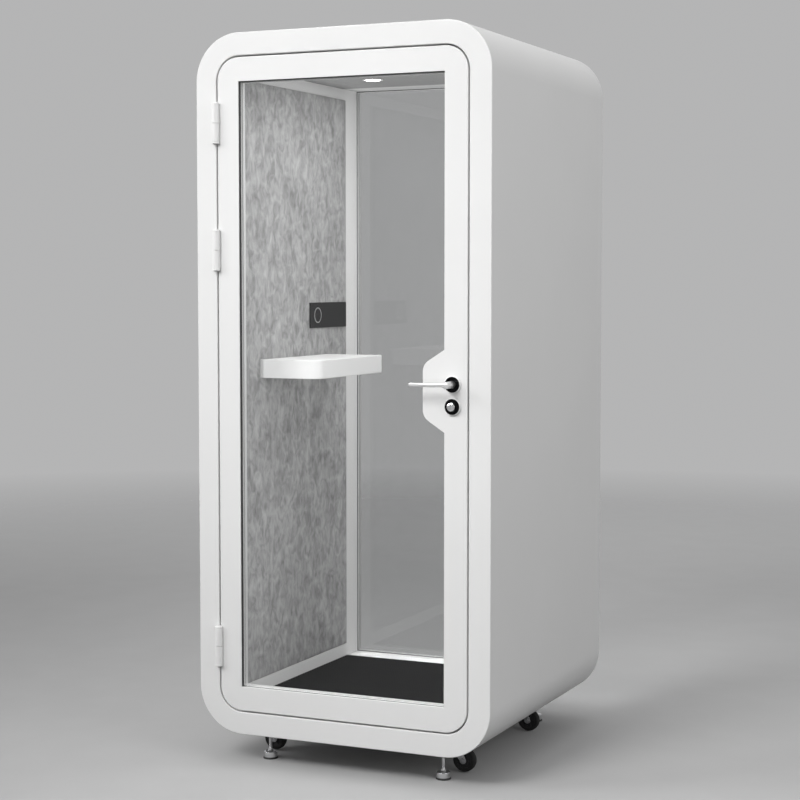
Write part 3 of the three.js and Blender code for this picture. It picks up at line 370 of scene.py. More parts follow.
def cap(bm, rings):
    """Fills the flat area between an outer ring and its holes."""
    if len(rings) == 1:
        bm.faces.new(rings[0])
        return
    edges = [bm.edges.get((r[i - 1], r[i])) for r in rings for i in range(len(r))]
    bmesh.ops.triangle_fill(bm, use_beauty=True, use_dissolve=False, edges=edges)


def edge_steps(bevel, steps):
    """(drawn in, depth) pairs that round an edge, from its flat face to its side."""
    if bevel <= 0:
        return [(0, 0)]
    quarter = math.pi / 2
    turns = [quarter * k / steps for k in range(steps + 1)]
    return [(bevel * (1 - math.sin(t)), bevel * (1 - math.cos(t))) for t in turns]


def add_slab(bm, outlines, low, high, place, bevel=1 * MM, far_bevel=None, steps=3):
    """Outlines swept from low to high with rounded edges."""
    near = edge_steps(bevel, steps)
    far = edge_steps(bevel if far_bevel is None else far_bevel, steps)
    firsts, lasts = [], []
    for outline in outlines:
        levels = [(d, low + w) for d, w in near] + [(d, high - w) for d, w in reversed(far)]
        rings = wall(bm, [[place(p.x, p.y, w) for p in drawn_in(outline, d)] for d, w in levels])
        firsts.append(rings[0])
        lasts.append(rings[-1])
    cap(bm, firsts)
    cap(bm, lasts)


def add_ring(bm, outline_at, profile, place):
    """A closed (inset, depth) profile carried round an outline."""
    wall(bm, [[place(p.x, p.y, w) for p in outline_at(d)] for d, w in profile], wrap=True)


def add_lathe(bm, profile, centre, place, steps=40, wrap=False):
    """A (radius, height) profile turned about an axis through centre, with its ends closed."""
    cx, cy = centre
    loops = [[place(p.x, p.y, h) for p in circle(cx, cy, max(r, 1e-5), steps)] for r, h in profile]
    rings = wall(bm, loops, wrap)
    if not wrap:
        bm.faces.new(rings[0])
        bm.faces.new(rings[-1])


def add_tube(bm, points, radius, sides=8, closed=False):
    """A round wire along a path."""
    pts = [Vector(p) for p in points]
    loops = []
    for i, here in enumerate(pts):
        ahead = pts[(i + 1) % len(pts)] if closed or i + 1 < len(pts) else here
        behind = pts[i - 1] if closed or i else here
        along = (ahead - behind).normalized()
        aside = along.orthogonal().normalized() if abs(along.z) > 0.9 else along.cross(Vector((0, 0, 1))).normalized()
        up = aside.cross(along)
        angles = [TURN * k / sides for k in range(sides)]
        loops.append([here + (aside * math.cos(a) + up * math.sin(a)) * radius for a in angles])
    rings = wall(bm, loops, wrap=closed)
    if not closed:
        bm.faces.new(rings[0])
        bm.faces.new(rings[-1])


def add_screw(bm, u, v, face, out, place, radius=3.4 * MM):
    """A flush hex-socket screw head at (u, v), its face towards out."""
    steps = 24
    sixth = TURN / 6

    def hexagon(size):
        turns = [TURN * k / steps for k in range(steps)]
        return [(size / math.cos((a + sixth / 2) % sixth - sixth / 2), a) for a in turns]

    def loop(polar, depth):
        return [place(u + r * math.cos(a), v + r * math.sin(a), face - out * depth) for r, a in polar]

    disc = [TURN * k / steps for k in range(steps)]
    loops = [loop([(radius, a) for a in disc], 1.8 * MM), loop([(radius, a) for a in disc], 0.3 * MM),
             loop([(radius * 0.93, a) for a in disc], 0.05 * MM), loop(hexagon(radius * 0.5), 0.05 * MM),
             loop(hexagon(radius * 0.48), 1.4 * MM)]
    rings = wall(bm, loops)
    bm.faces.new(rings[0])
    bm.faces.new(rings[-1])


def shape(name, fill, look, node=None, body=None, sharp=40, weighted=True):
    """A piece of the visual model from a function that fills a mesh. It stands for a CAD node or rides on a body."""
    bm = bmesh.new()
    fill(bm)
    bmesh.ops.remove_doubles(bm, verts=bm.verts, dist=1e-6)
    bmesh.ops.recalc_face_normals(bm, faces=bm.faces)
    mesh = bpy.data.meshes.new(name)
    bm.to_mesh(mesh)
    bm.free()
    return piece(name, mesh, look, node, body, sharp, weighted)


def piece(name, mesh, look, node=None, body=None, sharp=40, weighted=True):
    mesh.polygons.foreach_set("use_smooth", [True] * len(mesh.polygons))
    mesh.set_sharp_from_angle(angle=math.radians(sharp))
    mesh.materials.append(look)
    obj = bpy.data.objects.new(name, mesh)
    bpy.context.scene.collection.objects.link(obj)
    if weighted:
        normals = obj.modifiers.new("flat_faces", "WEIGHTED_NORMAL")
        normals.keep_sharp = True
    if node:
        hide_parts(node)
    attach(obj, body or BODY_OF[node])
    return obj


def carve(obj, fill):
    """Cuts a filled shape out of a piece."""
    bm = bmesh.new()
    fill(bm)
    bmesh.ops.recalc_face_normals(bm, faces=bm.faces)
    mesh = bpy.data.meshes.new("cutter")
    bm.to_mesh(mesh)
    bm.free()
    tool = bpy.data.objects.new("cutter", mesh)
    bpy.context.scene.collection.objects.link(tool)
    boolean = obj.modifiers.new("carve", "BOOLEAN")
    boolean.operation = "DIFFERENCE"
    boolean.solver = "EXACT"
    boolean.object = tool
    kept = [m for m in obj.modifiers if m.type == "WEIGHTED_NORMAL"]
    for m in kept:
        obj.modifiers.remove(m)
    graph = bpy.context.evaluated_depsgraph_get()
    cut_mesh = bpy.data.meshes.new_from_object(obj.evaluated_get(graph))
    obj.modifiers.clear()
    obj.data = cut_mesh
    cut_mesh.polygons.foreach_set("use_smooth", [True] * len(cut_mesh.polygons))
    cut_mesh.set_sharp_from_angle(angle=math.radians(40))
    normals = obj.modifiers.new("flat_faces", "WEIGHTED_NORMAL")
    normals.keep_sharp = True
    bpy.data.objects.remove(tool)


# Sizes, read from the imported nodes

CORNER = 150 * MM
ARC = 24
frame_low, frame_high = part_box("front_frame")
leaf_low, leaf_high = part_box("door_leaf")
rear_low, rear_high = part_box("rear_frame")
HALF, BOTTOM, TOP = frame_high.x, frame_low.z, frame_high.z
FRONT, FRAME_BACK = frame_low.y, frame_high.y
REAR_FRONT, REAR = rear_low.y, rear_high.y
LEAF_X, LEAF_REAR = leaf_high.x, leaf_high.y
LEAF_INSET = HALF - LEAF_X
DOOR_GAP = 5 * MM
FRAME_FACE = LEAF_INSET - DOOR_GAP
STOP_INSET = LEAF_INSET + 12 * MM
SEAL_DEPTH = 4 * MM


def body_outline(inset):
    radius = max(CORNER - inset, 0.5 * MM)
    return rounded_rect(inset - HALF, BOTTOM + inset, HALF - inset, TOP - inset, radius, ARC)


glass_low, glass_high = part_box("door_glass")
SLACK = 0.3 * MM
WINDOW_X = glass_high.x + SLACK
WINDOW_LOW, WINDOW_HIGH = glass_low.z - SLACK, glass_high.z + SLACK
lever_low, lever_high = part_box("outer_lever")
rose_low, rose_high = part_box("outer_lever_rose")
lock_low, lock_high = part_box("outer_lock_rose")
LOCK_X = (rose_low.x + rose_high.x) / 2
LEVER_Z = (rose_low.z + rose_high.z) / 2
LOCK_Z = (lock_low.z + lock_high.z) / 2
BUMP_Z = LEVER_Z - 21 * MM
BUMP_DEPTH = 70 * MM
BUMP_TIP = 79.5 * MM
BUMP_ROOT = 124.5 * MM
BUMP_RADIUS = 40 * MM


def window_outline(inset):
    """The window with the lock bump in its right edge, counter-clockwise, drawn towards its middle by inset."""
    slope = math.atan2(BUMP_ROOT - BUMP_TIP, BUMP_DEPTH)
    lean = math.tan(math.pi / 4 - slope / 2)
    left, right = inset - WINDOW_X, WINDOW_X - inset
    low, high = WINDOW_LOW + inset, WINDOW_HIGH - inset
    radius = BUMP_RADIUS + inset
    rise = BUMP_TIP + inset * lean - radius * lean
    cx = right - BUMP_DEPTH + radius
    corner = BUMP_ROOT + inset * lean
    near = 12 * MM
    sill = [Vector(p) for p in ((left, low), (left + near, low), (right - near, low), (right, low), (right, low + near))]
    return (sill + [Vector((right, BUMP_Z - corner))]
            + arc(cx, BUMP_Z - rise, radius, math.pi * 1.5 - slope, math.pi, 10)
            + arc(cx, BUMP_Z + rise, radius, math.pi, math.pi / 2 + slope, 10)
            + [Vector(p) for p in ((right, BUMP_Z + corner), (right, high - near), (right, high), (left, high))])


# Hinges: barrels in pockets across the door gap, with leaves in the gap

HINGES = {}
for place_name in ("upper", "middle", "lower"):
    low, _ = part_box(f"hinge_{place_name}_frame_leaf")
    _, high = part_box(f"hinge_{place_name}_door_leaf")
    HINGES[place_name] = (low.z, high.z)
HINGE_X = -(HALF - FRAME_FACE + LEAF_X) / 2
HINGE_RADIUS = 12 * MM
HINGE_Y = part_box("hinge_upper_frame_leaf")[0].y + HINGE_RADIUS
POCKET = 0.6 * MM


def hinge_pockets(bm):
    for low, high in HINGES.values():
        profile = [(HINGE_RADIUS + POCKET, low - POCKET), (HINGE_RADIUS + POCKET, high + POCKET)]
        add_lathe(bm, profile, (HINGE_X, HINGE_Y), along_z, 48)


def hinge_half(low, high, finial_low, leaf_left, leaf_right):
    """One half of a hinge: a barrel with a turned finial at its free end, and its drilled leaf."""
    def fill(bm):
        tip, joint = (low, high) if finial_low else (high, low)
        way = 1 if finial_low else -1
        shape_points = [(0.1 * MM, tip), (HINGE_RADIUS * 0.72, tip), (HINGE_RADIUS, tip + way * 2.4 * MM),
                        (HINGE_RADIUS, tip + way * 6 * MM), (HINGE_RADIUS - 0.9 * MM, tip + way * 6.6 * MM),
                        (HINGE_RADIUS - 0.9 * MM, tip + way * 7.6 * MM), (HINGE_RADIUS, tip + way * 8.2 * MM),
                        (HINGE_RADIUS, joint - way * 0.8 * MM), (HINGE_RADIUS - 0.8 * MM, joint), (0.1 * MM, joint)]
        add_lathe(bm, shape_points, (HINGE_X, HINGE_Y), along_z, 48)
        back = LEAF_REAR - 6 * MM
        middle = (HINGE_Y + HINGE_RADIUS + back) / 2
        holes = [hole(circle(middle, z, 3.5 * MM, 24)) for z in screw_heights(low, high)]
        outline = rect(HINGE_Y, low + 0.5 * MM, back, high - 0.5 * MM)
        add_slab(bm, [outline, *holes], leaf_left, leaf_right, along_x, 0.2 * MM)
    return fill


def screw_heights(low, high):
    return [low + (high - low) * share for share in (0.25, 0.75)]


def hinge_screws(face, out, halves):
    def fill(bm):
        middle = (HINGE_Y + HINGE_RADIUS + LEAF_REAR - 6 * MM) / 2
        for low, high in halves:
            for z in screw_heights(low, high):
                add_screw(bm, middle, z, face, out, along_x, 3.3 * MM)
    return fill


frame_halves, door_halves = [], []
for place_name in HINGES:
    low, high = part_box(f"hinge_{place_name}_frame_leaf")
    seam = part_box(f"hinge_{place_name}_door_leaf")[0].z
    frame_left = -(HALF - FRAME_FACE) + SLACK
    frame_right = frame_left + 2.05 * MM
    frame_halves.append((low.z, seam - 1 * MM))
    shape(f"hinge_{place_name}_lower_half", hinge_half(low.z, seam - 1 * MM, True, frame_left, frame_right),
          LOOKS["white_skin"], f"hinge_{place_name}_frame_leaf")
    low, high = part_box(f"hinge_{place_name}_door_leaf")
    door_right = -LEAF_X - SLACK
    door_left = door_right - 2.05 * MM
    door_halves.append((low.z, high.z))
    shape(f"hinge_{place_name}_upper_half", hinge_half(low.z, high.z, False, door_left, door_right),
          LOOKS["white_skin"], f"hinge_{place_name}_door_leaf")
shape("hinge_screws_frame", hinge_screws(frame_right, 1, frame_halves), LOOKS["steel"], body="pod")
shape("hinge_screws_door", hinge_screws(door_left, -1, door_halves), LOOKS["steel"], body="door")


# Front ring with its stop and seal

strike_low, strike_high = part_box("strike_plate")
bolt_low, bolt_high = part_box("dead_bolt")
latch_low, latch_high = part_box("latch_bolt")
EDGE = 2.6 * MM


def front_ring(bm):
    stop = LEAF_REAR + SEAL_DEPTH
    outer = [(d, FRONT + w) for d, w in reversed(edge_steps(EDGE, 4))]
    inner = [(FRAME_FACE - d, FRONT + w) for d, w in edge_steps(EDGE, 4)]
    rest = [(FRAME_FACE, stop), (STOP_INSET - 0.6 * MM, stop), (STOP_INSET, stop + 0.6 * MM),
            (STOP_INSET, FRAME_BACK - 0.6 * MM), (STOP_INSET - 0.6 * MM, FRAME_BACK), (0, FRAME_BACK)]
    add_ring(bm, body_outline, outer + inner + rest, along_y)


def strike_recess(bm):
    slack = Vector((SLACK,) * 3)
    low, high = strike_low - slack, strike_high + slack
    add_slab(bm, [rect(low.y, low.z, high.y, high.z)], low.x - 4 * MM, high.x, along_x, 0)


def bolt_pocket(bm):
    room = 2 * MM
    outline = rect(bolt_low.y - room, bolt_low.z - room, bolt_high.y + room, bolt_high.z + room)
    add_slab(bm, [outline], strike_low.x - 4 * MM, bolt_high.x + 17 * MM, along_x, 0)


ring = shape("front_ring", front_ring, LOOKS["white_shell"], "front_frame")
carve(ring, hinge_pockets)
carve(ring, strike_recess)
carve(ring, bolt_pocket)


def bolt_hole(low, high, margin=1.5 * MM):
    return hole(rounded_rect(low.y - margin, low.z - margin, high.y + margin, high.z + margin, 1 * MM, 3))


STRIKE_Y = (strike_low.y + strike_high.y) / 2
STRIKE_SCREWS = (strike_low.z + 11 * MM, strike_high.z - 11 * MM)


def strike(bm):
    outline = rounded_rect(strike_low.y, strike_low.z, strike_high.y, strike_high.z, 3 * MM, 4)
    screws = [hole(circle(STRIKE_Y, z, 3.6 * MM, 24)) for z in STRIKE_SCREWS]
    openings = [bolt_hole(latch_low, latch_high), bolt_hole(bolt_low, bolt_high)]
    add_slab(bm, [outline, *openings, *screws], strike_low.x, strike_high.x, along_x, 0.3 * MM)


def strike_screws(bm):
    for z in STRIKE_SCREWS:
        add_screw(bm, STRIKE_Y, z, strike_low.x, -1, along_x)


shape("strike", strike, LOOKS["steel"], "strike_plate")
shape("strike_screws", strike_screws, LOOKS["steel"], body="pod")


def seal_strip(bm):
    low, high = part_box("door_seal")
    outer = HALF - high.x
    inner = STOP_INSET - 0.4 * MM
    profile = [(outer, high.y), (outer, low.y + 1.6 * MM), (outer + 2.4 * MM, low.y), (outer + 4.4 * MM, low.y),
               (outer + 6.4 * MM, low.y + 1.8 * MM), (inner, low.y + 2.2 * MM), (inner, high.y)]
    add_ring(bm, body_outline, [tuple(p) for p in filleted(profile, 0.7 * MM, True)], along_y)


# The seal's pale grey is painted light that lifts the shade in the door gap.
shape("door_seal_strip", seal_strip, GAP_LIGHTENING_SEAL, "door_seal")


# Door leaf with its rebated window, gasket and lock edge

GLASS_BACK = glass_high.y + SLACK
GLASS_LIP = 4 * MM
REAR_CHAMFER = 9 * MM


def leaf(bm):
    outer_levels = [(d, FRONT + w) for d, w in edge_steps(EDGE, 4)]
    outer_levels += [(d, LEAF_REAR - w) for d, w in reversed(edge_steps(EDGE, 4))]
    outer = wall(bm, [[along_y(p.x, p.y, w) for p in body_outline(LEAF_INSET + d)] for d, w in outer_levels])
    lip = 1 * MM
    levels = [(-d, FRONT + w) for d, w in edge_steps(lip, 3)] + [(0, GLASS_BACK), (GLASS_LIP, GLASS_BACK)]
    levels += [(GLASS_LIP - d, LEAF_REAR - w) for d, w in reversed(edge_steps(REAR_CHAMFER, 5))]
    inner = wall(bm, [[along_y(p.x, p.y, w) for p in window_outline(d)] for d, w in levels])
    cap(bm, [outer[0], inner[0]])
    cap(bm, [outer[-1], inner[-1]])


def spindle_holes(bm):
    for z, radius in ((LEVER_Z, 7 * MM), (LOCK_Z, 5.4 * MM)):
        add_lathe(bm, [(radius, FRONT - 5 * MM), (radius, LEAF_REAR + 5 * MM)], (LOCK_X, z), along_y, 32)


def lock_mortise(bm):
    low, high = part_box("lock_case")
    outline = rect(low.y - SLACK, low.z - SLACK, high.y + SLACK, high.z + SLACK)
    add_slab(bm, [outline], low.x - SLACK, high.x + 5 * MM, along_x, 0)


door = shape("door_panel", leaf, LOOKS["white_shell"], "door_leaf")
carve(door, hinge_pockets)
carve(door, spindle_holes)
carve(door, lock_mortise)


def window_gasket(bm):
    low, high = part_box("door_gasket")
    near, far = 0.3 * MM, 1.8 * MM
    front = low.y + 1 * MM
    setback = 6.8 * MM
    profile = [(near, high.y), (near, front), (far, front), (far, high.y - 1.6 * MM), (far + 1 * MM, high.y)]

    def set_back(u, v, w):
        """Deeper along the sill and the lock side than along the other two, and lower on the sill."""
        on_sill = v < WINDOW_LOW + 5 * MM and u > 8 * MM - WINDOW_X
        v = WINDOW_LOW + (v - WINDOW_LOW) * 0.35 if on_sill else v
        on_side = u > WINDOW_X - BUMP_DEPTH - 5 * MM and v < WINDOW_HIGH - 8 * MM
        return Vector((u, w + setback if (on_sill or on_side) and w < high.y - 2.5 * MM else w, v))

    add_ring(bm, window_outline, [tuple(p) for p in filleted(profile, 0.7 * MM, True, 3)], set_back)


shape("window_gasket", window_gasket, LOOKS["rubber"], "door_gasket")


FACE_SCREWS = (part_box("lock_case")[0].z - 9 * MM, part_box("lock_case")[1].z + 9 * MM)
EDGE_Y = (latch_low.y + latch_high.y) / 2


def lock_face(bm):
    outline = rounded_rect(EDGE_Y - 11 * MM, FACE_SCREWS[0] - 10 * MM, EDGE_Y + 11 * MM, FACE_SCREWS[1] + 10 * MM, 4 * MM, 5)
    screws = [hole(circle(EDGE_Y, z, 3.6 * MM, 24)) for z in FACE_SCREWS]
    openings = [bolt_hole(latch_low, latch_high, 0.5 * MM), bolt_hole(bolt_low, bolt_high, 0.5 * MM)]
    add_slab(bm, [outline, *openings, *screws], LEAF_X, LEAF_X + 1.6 * MM, along_x, 0, 0.4 * MM)


def lock_face_screws(bm):
    for z in FACE_SCREWS:
        add_screw(bm, EDGE_Y, z, LEAF_X + 1.6 * MM, 1, along_x)


shape("lock_faceplate", lock_face, LOOKS["steel"], body="door")
shape("lock_faceplate_screws", lock_face_screws, LOOKS["steel"], body="door")


def latch_tongue(bm):
    """The sprung latch: rounded flanks and a ramp towards the rear."""
    low, high = latch_low, latch_high
    middle = (low.y + high.y) / 2
    nose = LEAF_X
    points = [(low.x, low.y), (high.x, low.y), (high.x, middle), (nose, high.y), (low.x, high.y)]
    add_slab(bm, [[Vector(p) for p in filleted(points, 0.8 * MM, True, 3)]], low.z, high.z, along_z, 0.7 * MM)


def bolt_tongue(bm):
    outline = rounded_rect(bolt_low.y, bolt_low.z, bolt_high.y, bolt_high.z, 1.2 * MM, 4)
    add_slab(bm, [outline], bolt_low.x, bolt_high.x, along_x, 0.8 * MM)


shape("latch_tongue", latch_tongue, LOOKS["steel"], "latch_bolt")
shape("bolt_tongue", bolt_tongue, LOOKS["steel"], "dead_bolt")


# Lever set and lock

def rose(low, high, bore):
    def fill(bm):
        radius = (high.x - low.x) / 2
        z = (low.z + high.z) / 2
        profile = [(bore, high.y), (radius, high.y), (radius, low.y + 2.5 * MM), (radius - 2.5 * MM, low.y),
                   (bore + 2 * MM, low.y), (bore, low.y + 1 * MM)]
        add_lathe(bm, [tuple(p) for p in filleted(profile, 1.4 * MM, True)], (LOCK_X, z), along_y, 64, wrap=True)
    return fill


NECK = 10.5 * MM
KNOB = 13 * MM
RUNNING = 0.4 * MM
ROSE_RIM = 2.2 * MM
RIMMED = rose_look("rimmed_rose", ((LOCK_X, LEVER_Z), (LOCK_X, LOCK_Z)), (rose_high.x - rose_low.x) / 2 - ROSE_RIM)
shape("lever_rose", rose(rose_low, rose_high, NECK + RUNNING), RIMMED, "outer_lever_rose")
shape("lock_rose", rose(lock_low, lock_high, KNOB + RUNNING), RIMMED, "outer_lock_rose")


def handle(node, out):
    """A lever: a bar with soft edges, a turned neck and, outside, the square spindle."""
    low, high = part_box(node)

    def fill(bm):
        bar = 12 * MM
        face = low.y if out < 0 else high.y
        back = face - out * bar
        half = bar / 2
        outline = rounded_rect(low.x, LEVER_Z - half, LOCK_X + NECK, LEVER_Z + half, half - 0.01 * MM, 8)
        add_slab(bm, [outline], min(face, back), max(face, back), along_y, 3.6 * MM, steps=5)
        seat = FRONT - SLACK if out < 0 else LEAF_REAR + SLACK
        crown = face - out * 0.4 * MM
        neck = [(0.1 * MM, crown), (NECK - 3 * MM, crown), (NECK, crown - out * 3.2 * MM),
                (NECK, seat), (0.1 * MM, seat)]
        add_lathe(bm, [tuple(p) for p in filleted(neck, 2.2 * MM)], (LOCK_X, LEVER_Z), along_y, 48)
        if out < 0:
            add_slab(bm, [rect(LOCK_X - 4 * MM, LEVER_Z - 4 * MM, LOCK_X + 4 * MM, LEVER_Z + 4 * MM)],
                     FRONT - 5 * MM, high.y, along_y, 0.4 * MM)
    return fill


shape("lever_outside", handle("outer_lever", -1), SATIN, "outer_lever")
shape("lever_inside", handle("inner_lever", 1), SATIN, "inner_lever")

plate_low, plate_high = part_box("inner_lock_plate")


def inner_plate(bm):
    radius = (plate_high.x - plate_low.x) / 2
    outline = rounded_rect(plate_low.x, plate_low.z, plate_high.x, plate_high.z, radius - 0.01 * MM, 20)
    openings = [hole(circle(LOCK_X, LEVER_Z, NECK + RUNNING)), hole(circle(LOCK_X, LOCK_Z, 5.4 * MM, 32))]
    add_slab(bm, [outline, *openings], plate_low.y, plate_high.y, along_y, 0.2 * MM, 1.8 * MM, 4)


shape("inner_plate", inner_plate, LOOKS["chrome"], "inner_lock_plate")


def knob(bm):
    low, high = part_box("lock_knob")
    profile = [(0.1 * MM, low.y + 0.4 * MM), (KNOB * 0.62, low.y + 0.2 * MM), (KNOB - 0.4 * MM, low.y + 2.2 * MM),
               (KNOB, FRONT - SLACK), (5 * MM, FRONT - SLACK), (5 * MM, high.y), (0.1 * MM, high.y)]
    add_lathe(bm, [tuple(p) for p in filleted(profile, 1.2 * MM)], (LOCK_X, LOCK_Z), along_y, 56)


def knob_slot(bm):
    low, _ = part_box("lock_knob")
    outline = rounded_rect(LOCK_X - 1.5 * MM, LOCK_Z - 6.5 * MM, LOCK_X + 1.5 * MM, LOCK_Z + 6.5 * MM, 1.2 * MM, 4)
    add_slab(bm, [outline], low.y - 4 * MM, low.y + 4 * MM, along_y, 0)


turner = shape("lock_cylinder", knob, LOOKS["chrome"], "lock_knob")
carve(turner, knob_slot)


def thumb(bm):
    low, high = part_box("thumb_turn")
    seat = plate_high.y + SLACK
    base = [(0.1 * MM, low.y), (5 * MM, low.y), (5 * MM, seat), (13 * MM, seat), (13 * MM, seat + 3.4 * MM),
            (11.4 * MM, seat + 5 * MM), (0.1 * MM, seat + 5 * MM)]
    add_lathe(bm, [tuple(p) for p in filleted(base, 0.9 * MM)], (LOCK_X, LOCK_Z), along_y, 48)
    half = 4 * MM
    wing = rounded_rect(LOCK_X - half, LOCK_Z - 13 * MM, LOCK_X + half, LOCK_Z + 13 * MM, half - 0.01 * MM, 8)
    add_slab(bm, [wing], seat + 1 * MM, high.y, along_y, 0.2 * MM, 2.6 * MM, 4)


shape("thumb_piece", thumb, LOOKS["chrome"], "thumb_turn")


# Rear ring with its gasket

deck_low, deck_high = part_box("floor_deck")
ceiling_low, ceiling_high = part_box("ceiling_board")
CABIN_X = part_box("right_felt")[1].x + SLACK
FLOOR, CEILING = deck_high.z, ceiling_low.z


def cabin_outline(inset):
    return rect(inset - CABIN_X, FLOOR + inset, CABIN_X - inset, CEILING - inset)


def rear_ring(bm):
    add_slab(bm, [body_outline(0), hole(cabin_outline(0))], REAR_FRONT, REAR, along_y, 0, EDGE, 4)


GASKET_LIP = 3 * MM


def rear_gasket(bm):
    low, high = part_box("rear_gasket")
    near, far = 0.3 * MM, 2.2 * MM
    back = low.y + GASKET_LIP
    profile = [(near, low.y), (near, back), (far, back), (far, low.y)]
    add_ring(bm, cabin_outline, [tuple(p) for p in filleted(profile, 0.9 * MM, True)], along_y)


def rear_bead(bm):
    low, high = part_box("rear_gasket")
    near, far = 0.3 * MM, 4 * MM
    front = low.y + GASKET_LIP + SLACK
    profile = [(near, front), (near, high.y), (far, high.y), (far, front)]
    add_ring(bm, cabin_outline, [tuple(p) for p in filleted(profile, 1 * MM, True)], along_y)


shape("rear_ring", rear_ring, LOOKS["white_shell"], "rear_frame")
shape("rear_gasket_strip", rear_gasket, LOOKS["rubber"], "rear_gasket")
shape("rear_glazing_bead", rear_bead, LOOKS["white_shell"], body="pod")


# Outer skins, butted so that the tube reads as one form

SKIN = 2 * MM
fan_low, fan_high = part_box("fan_housing")
FAN_X, FAN_Y = (fan_low.x + fan_high.x) / 2, (fan_low.y + fan_high.y) / 2
DUCT = 62 * MM


def wrap_outline(upper):
    """Half of the tube's wall section: over the roof or under the base."""
    def open_arc(inset):
        points = body_outline(inset)
        quarter = ARC + 1
        return points[quarter:3 * quarter] if upper else points[3 * quarter:] + points[:quarter]
    return open_arc(0) + open_arc(SKIN)[::-1]


def skin_sheet(outline):
    def fill(bm):
        add_slab(bm, [outline], FRAME_BACK, REAR_FRONT, along_y, 0)
    return fill


def fan_outlet(bm):
    add_lathe(bm, [(DUCT, TOP - 10 * MM), (DUCT, TOP + 10 * MM)], (FAN_X, FAN_Y), along_z, 64)


roof = shape("roof_sheet", skin_sheet(wrap_outline(True)), LOOKS["white_skin"], "roof_skin")
carve(roof, fan_outlet)
shape("base_sheet", skin_sheet(wrap_outline(False)), LOOKS["white_skin"], "base_skin")
for side, sign in (("left", -1), ("right", 1)):
    edges = sorted((sign * HALF, sign * (HALF - SKIN)))
    outline = rect(edges[0], BOTTOM + CORNER, edges[1], TOP - CORNER)
    shape(f"{side}_sheet", skin_sheet(outline), LOOKS["white_skin"], f"{side}_skin")


# Cabin lining

def clipped(node, axis, first=None, last=None):
    """The box of a node, or the stretch of it between first and last along an axis."""
    low, high = (corner.copy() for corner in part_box(node))
    low[axis] = low[axis] if first is None else first
    high[axis] = high[axis] if last is None else last
    return low, high


def board(box, place, bevel=0.8 * MM, openings=()):
    """A flat board that fills a box."""
    low, high = box
    u, v, w = {along_x: (1, 2, 0), along_y: (0, 2, 1), along_z: (0, 1, 2)}[place]

    def fill(bm):
        outline = rect(low[u], low[v], high[u], high[v])
        add_slab(bm, [outline, *openings], low[w], high[w], place, bevel)
    return fill


light_low, light_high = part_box("downlight_can")
LIGHT_X, LIGHT_Y = (light_low.x + light_high.x) / 2, (light_low.y + light_high.y) / 2
for side, room in (("left", (None, -CABIN_X)), ("right", (CABIN_X, None))):
    wall_box = clipped(f"{side}_lining", 0, *room)
    shape(f"{side}_wall_board", board(wall_box, along_x), LOOKS["white_board"], f"{side}_lining")
    felt_low, felt_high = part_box(f"{side}_felt")
    skirting_box = (Vector((felt_low.x, wall_box[0].y, wall_box[0].z)),
                    Vector((felt_high.x, felt_high.y, felt_low.z - SLACK)))
    shape(f"{side}_skirting", board(skirting_box, along_x, 1.2 * MM), LOOKS["white_board"],
          body="pod")
shape("floor_board", board(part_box("floor_deck"), along_z), LOOKS["white_board"], "floor_deck")
ceiling_holes = [hole(circle(LIGHT_X, LIGHT_Y, 30.3 * MM)), hole(circle(FAN_X, FAN_Y, 66.3 * MM))]
STRIP_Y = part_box("left_felt")[1].y
shape("ceiling_panel", board(clipped("ceiling_board", 1, last=STRIP_Y), along_z, 1 * MM, ceiling_holes),
      LOOKS["ceiling_felt"], "ceiling_board")
shape("ceiling_margin", board(clipped("ceiling_board", 1, first=STRIP_Y + SLACK), along_z),
      LOOKS["white_board"], body="pod")


def felt_panel(node, face_sign):
    """A pressed felt panel: soft rounded edges and a slightly uneven face."""
    low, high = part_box(node)
    step = 15 * MM
    soft = 4 * MM
    thick = high.x - low.x

    def levels(first, last):
        count = round((last - first - 2 * soft) / step)
        inner = [first + soft + (last - first - 2 * soft) * i / count for i in range(count + 1)]
        return [first, first + soft * 0.3, *inner, last - soft * 0.3, last]

    def rise(y, z):
        near = min(y - low.y, high.y - y, z - low.z, high.z - z)
        if near <= 0:
            return 0.55 * thick
        edge = min(near / soft, 1)
        crown = thick * (0.55 + 0.45 * math.sqrt(1 - (1 - edge) ** 2))
        return crown - edge * 0.25 * MM * (1 + noise.noise(Vector((face_sign * 3, y * 14, z * 5))))

    def fill(bm):
        ys, zs = levels(low.y, high.y), levels(low.z, high.z)
        back = low.x if face_sign > 0 else high.x
        rows = [[bm.verts.new((back + face_sign * rise(y, z), y, z)) for y in ys] for z in zs]
        for a, b in zip(rows, rows[1:]):
            for i in range(len(ys) - 1):
                bm.faces.new((a[i], a[i + 1], b[i + 1], b[i]))
        border = rows[0] + [r[-1] for r in rows[1:]] + rows[-1][-2::-1] + [r[0] for r in rows[-2:0:-1]]
        rear = [bm.verts.new((back, v.co.y, v.co.z)) for v in border]
        for i in range(len(border)):
            j = (i + 1) % len(border)
            bm.faces.new((border[i], border[j], rear[j], rear[i]))
        bm.faces.new(rear)
    return fill


shape("left_felt_panel", felt_panel("left_felt", 1), LOOKS["felt"], "left_felt", weighted=False)
shape("right_felt_panel", felt_panel("right_felt", -1), LOOKS["felt"], "right_felt", weighted=False)


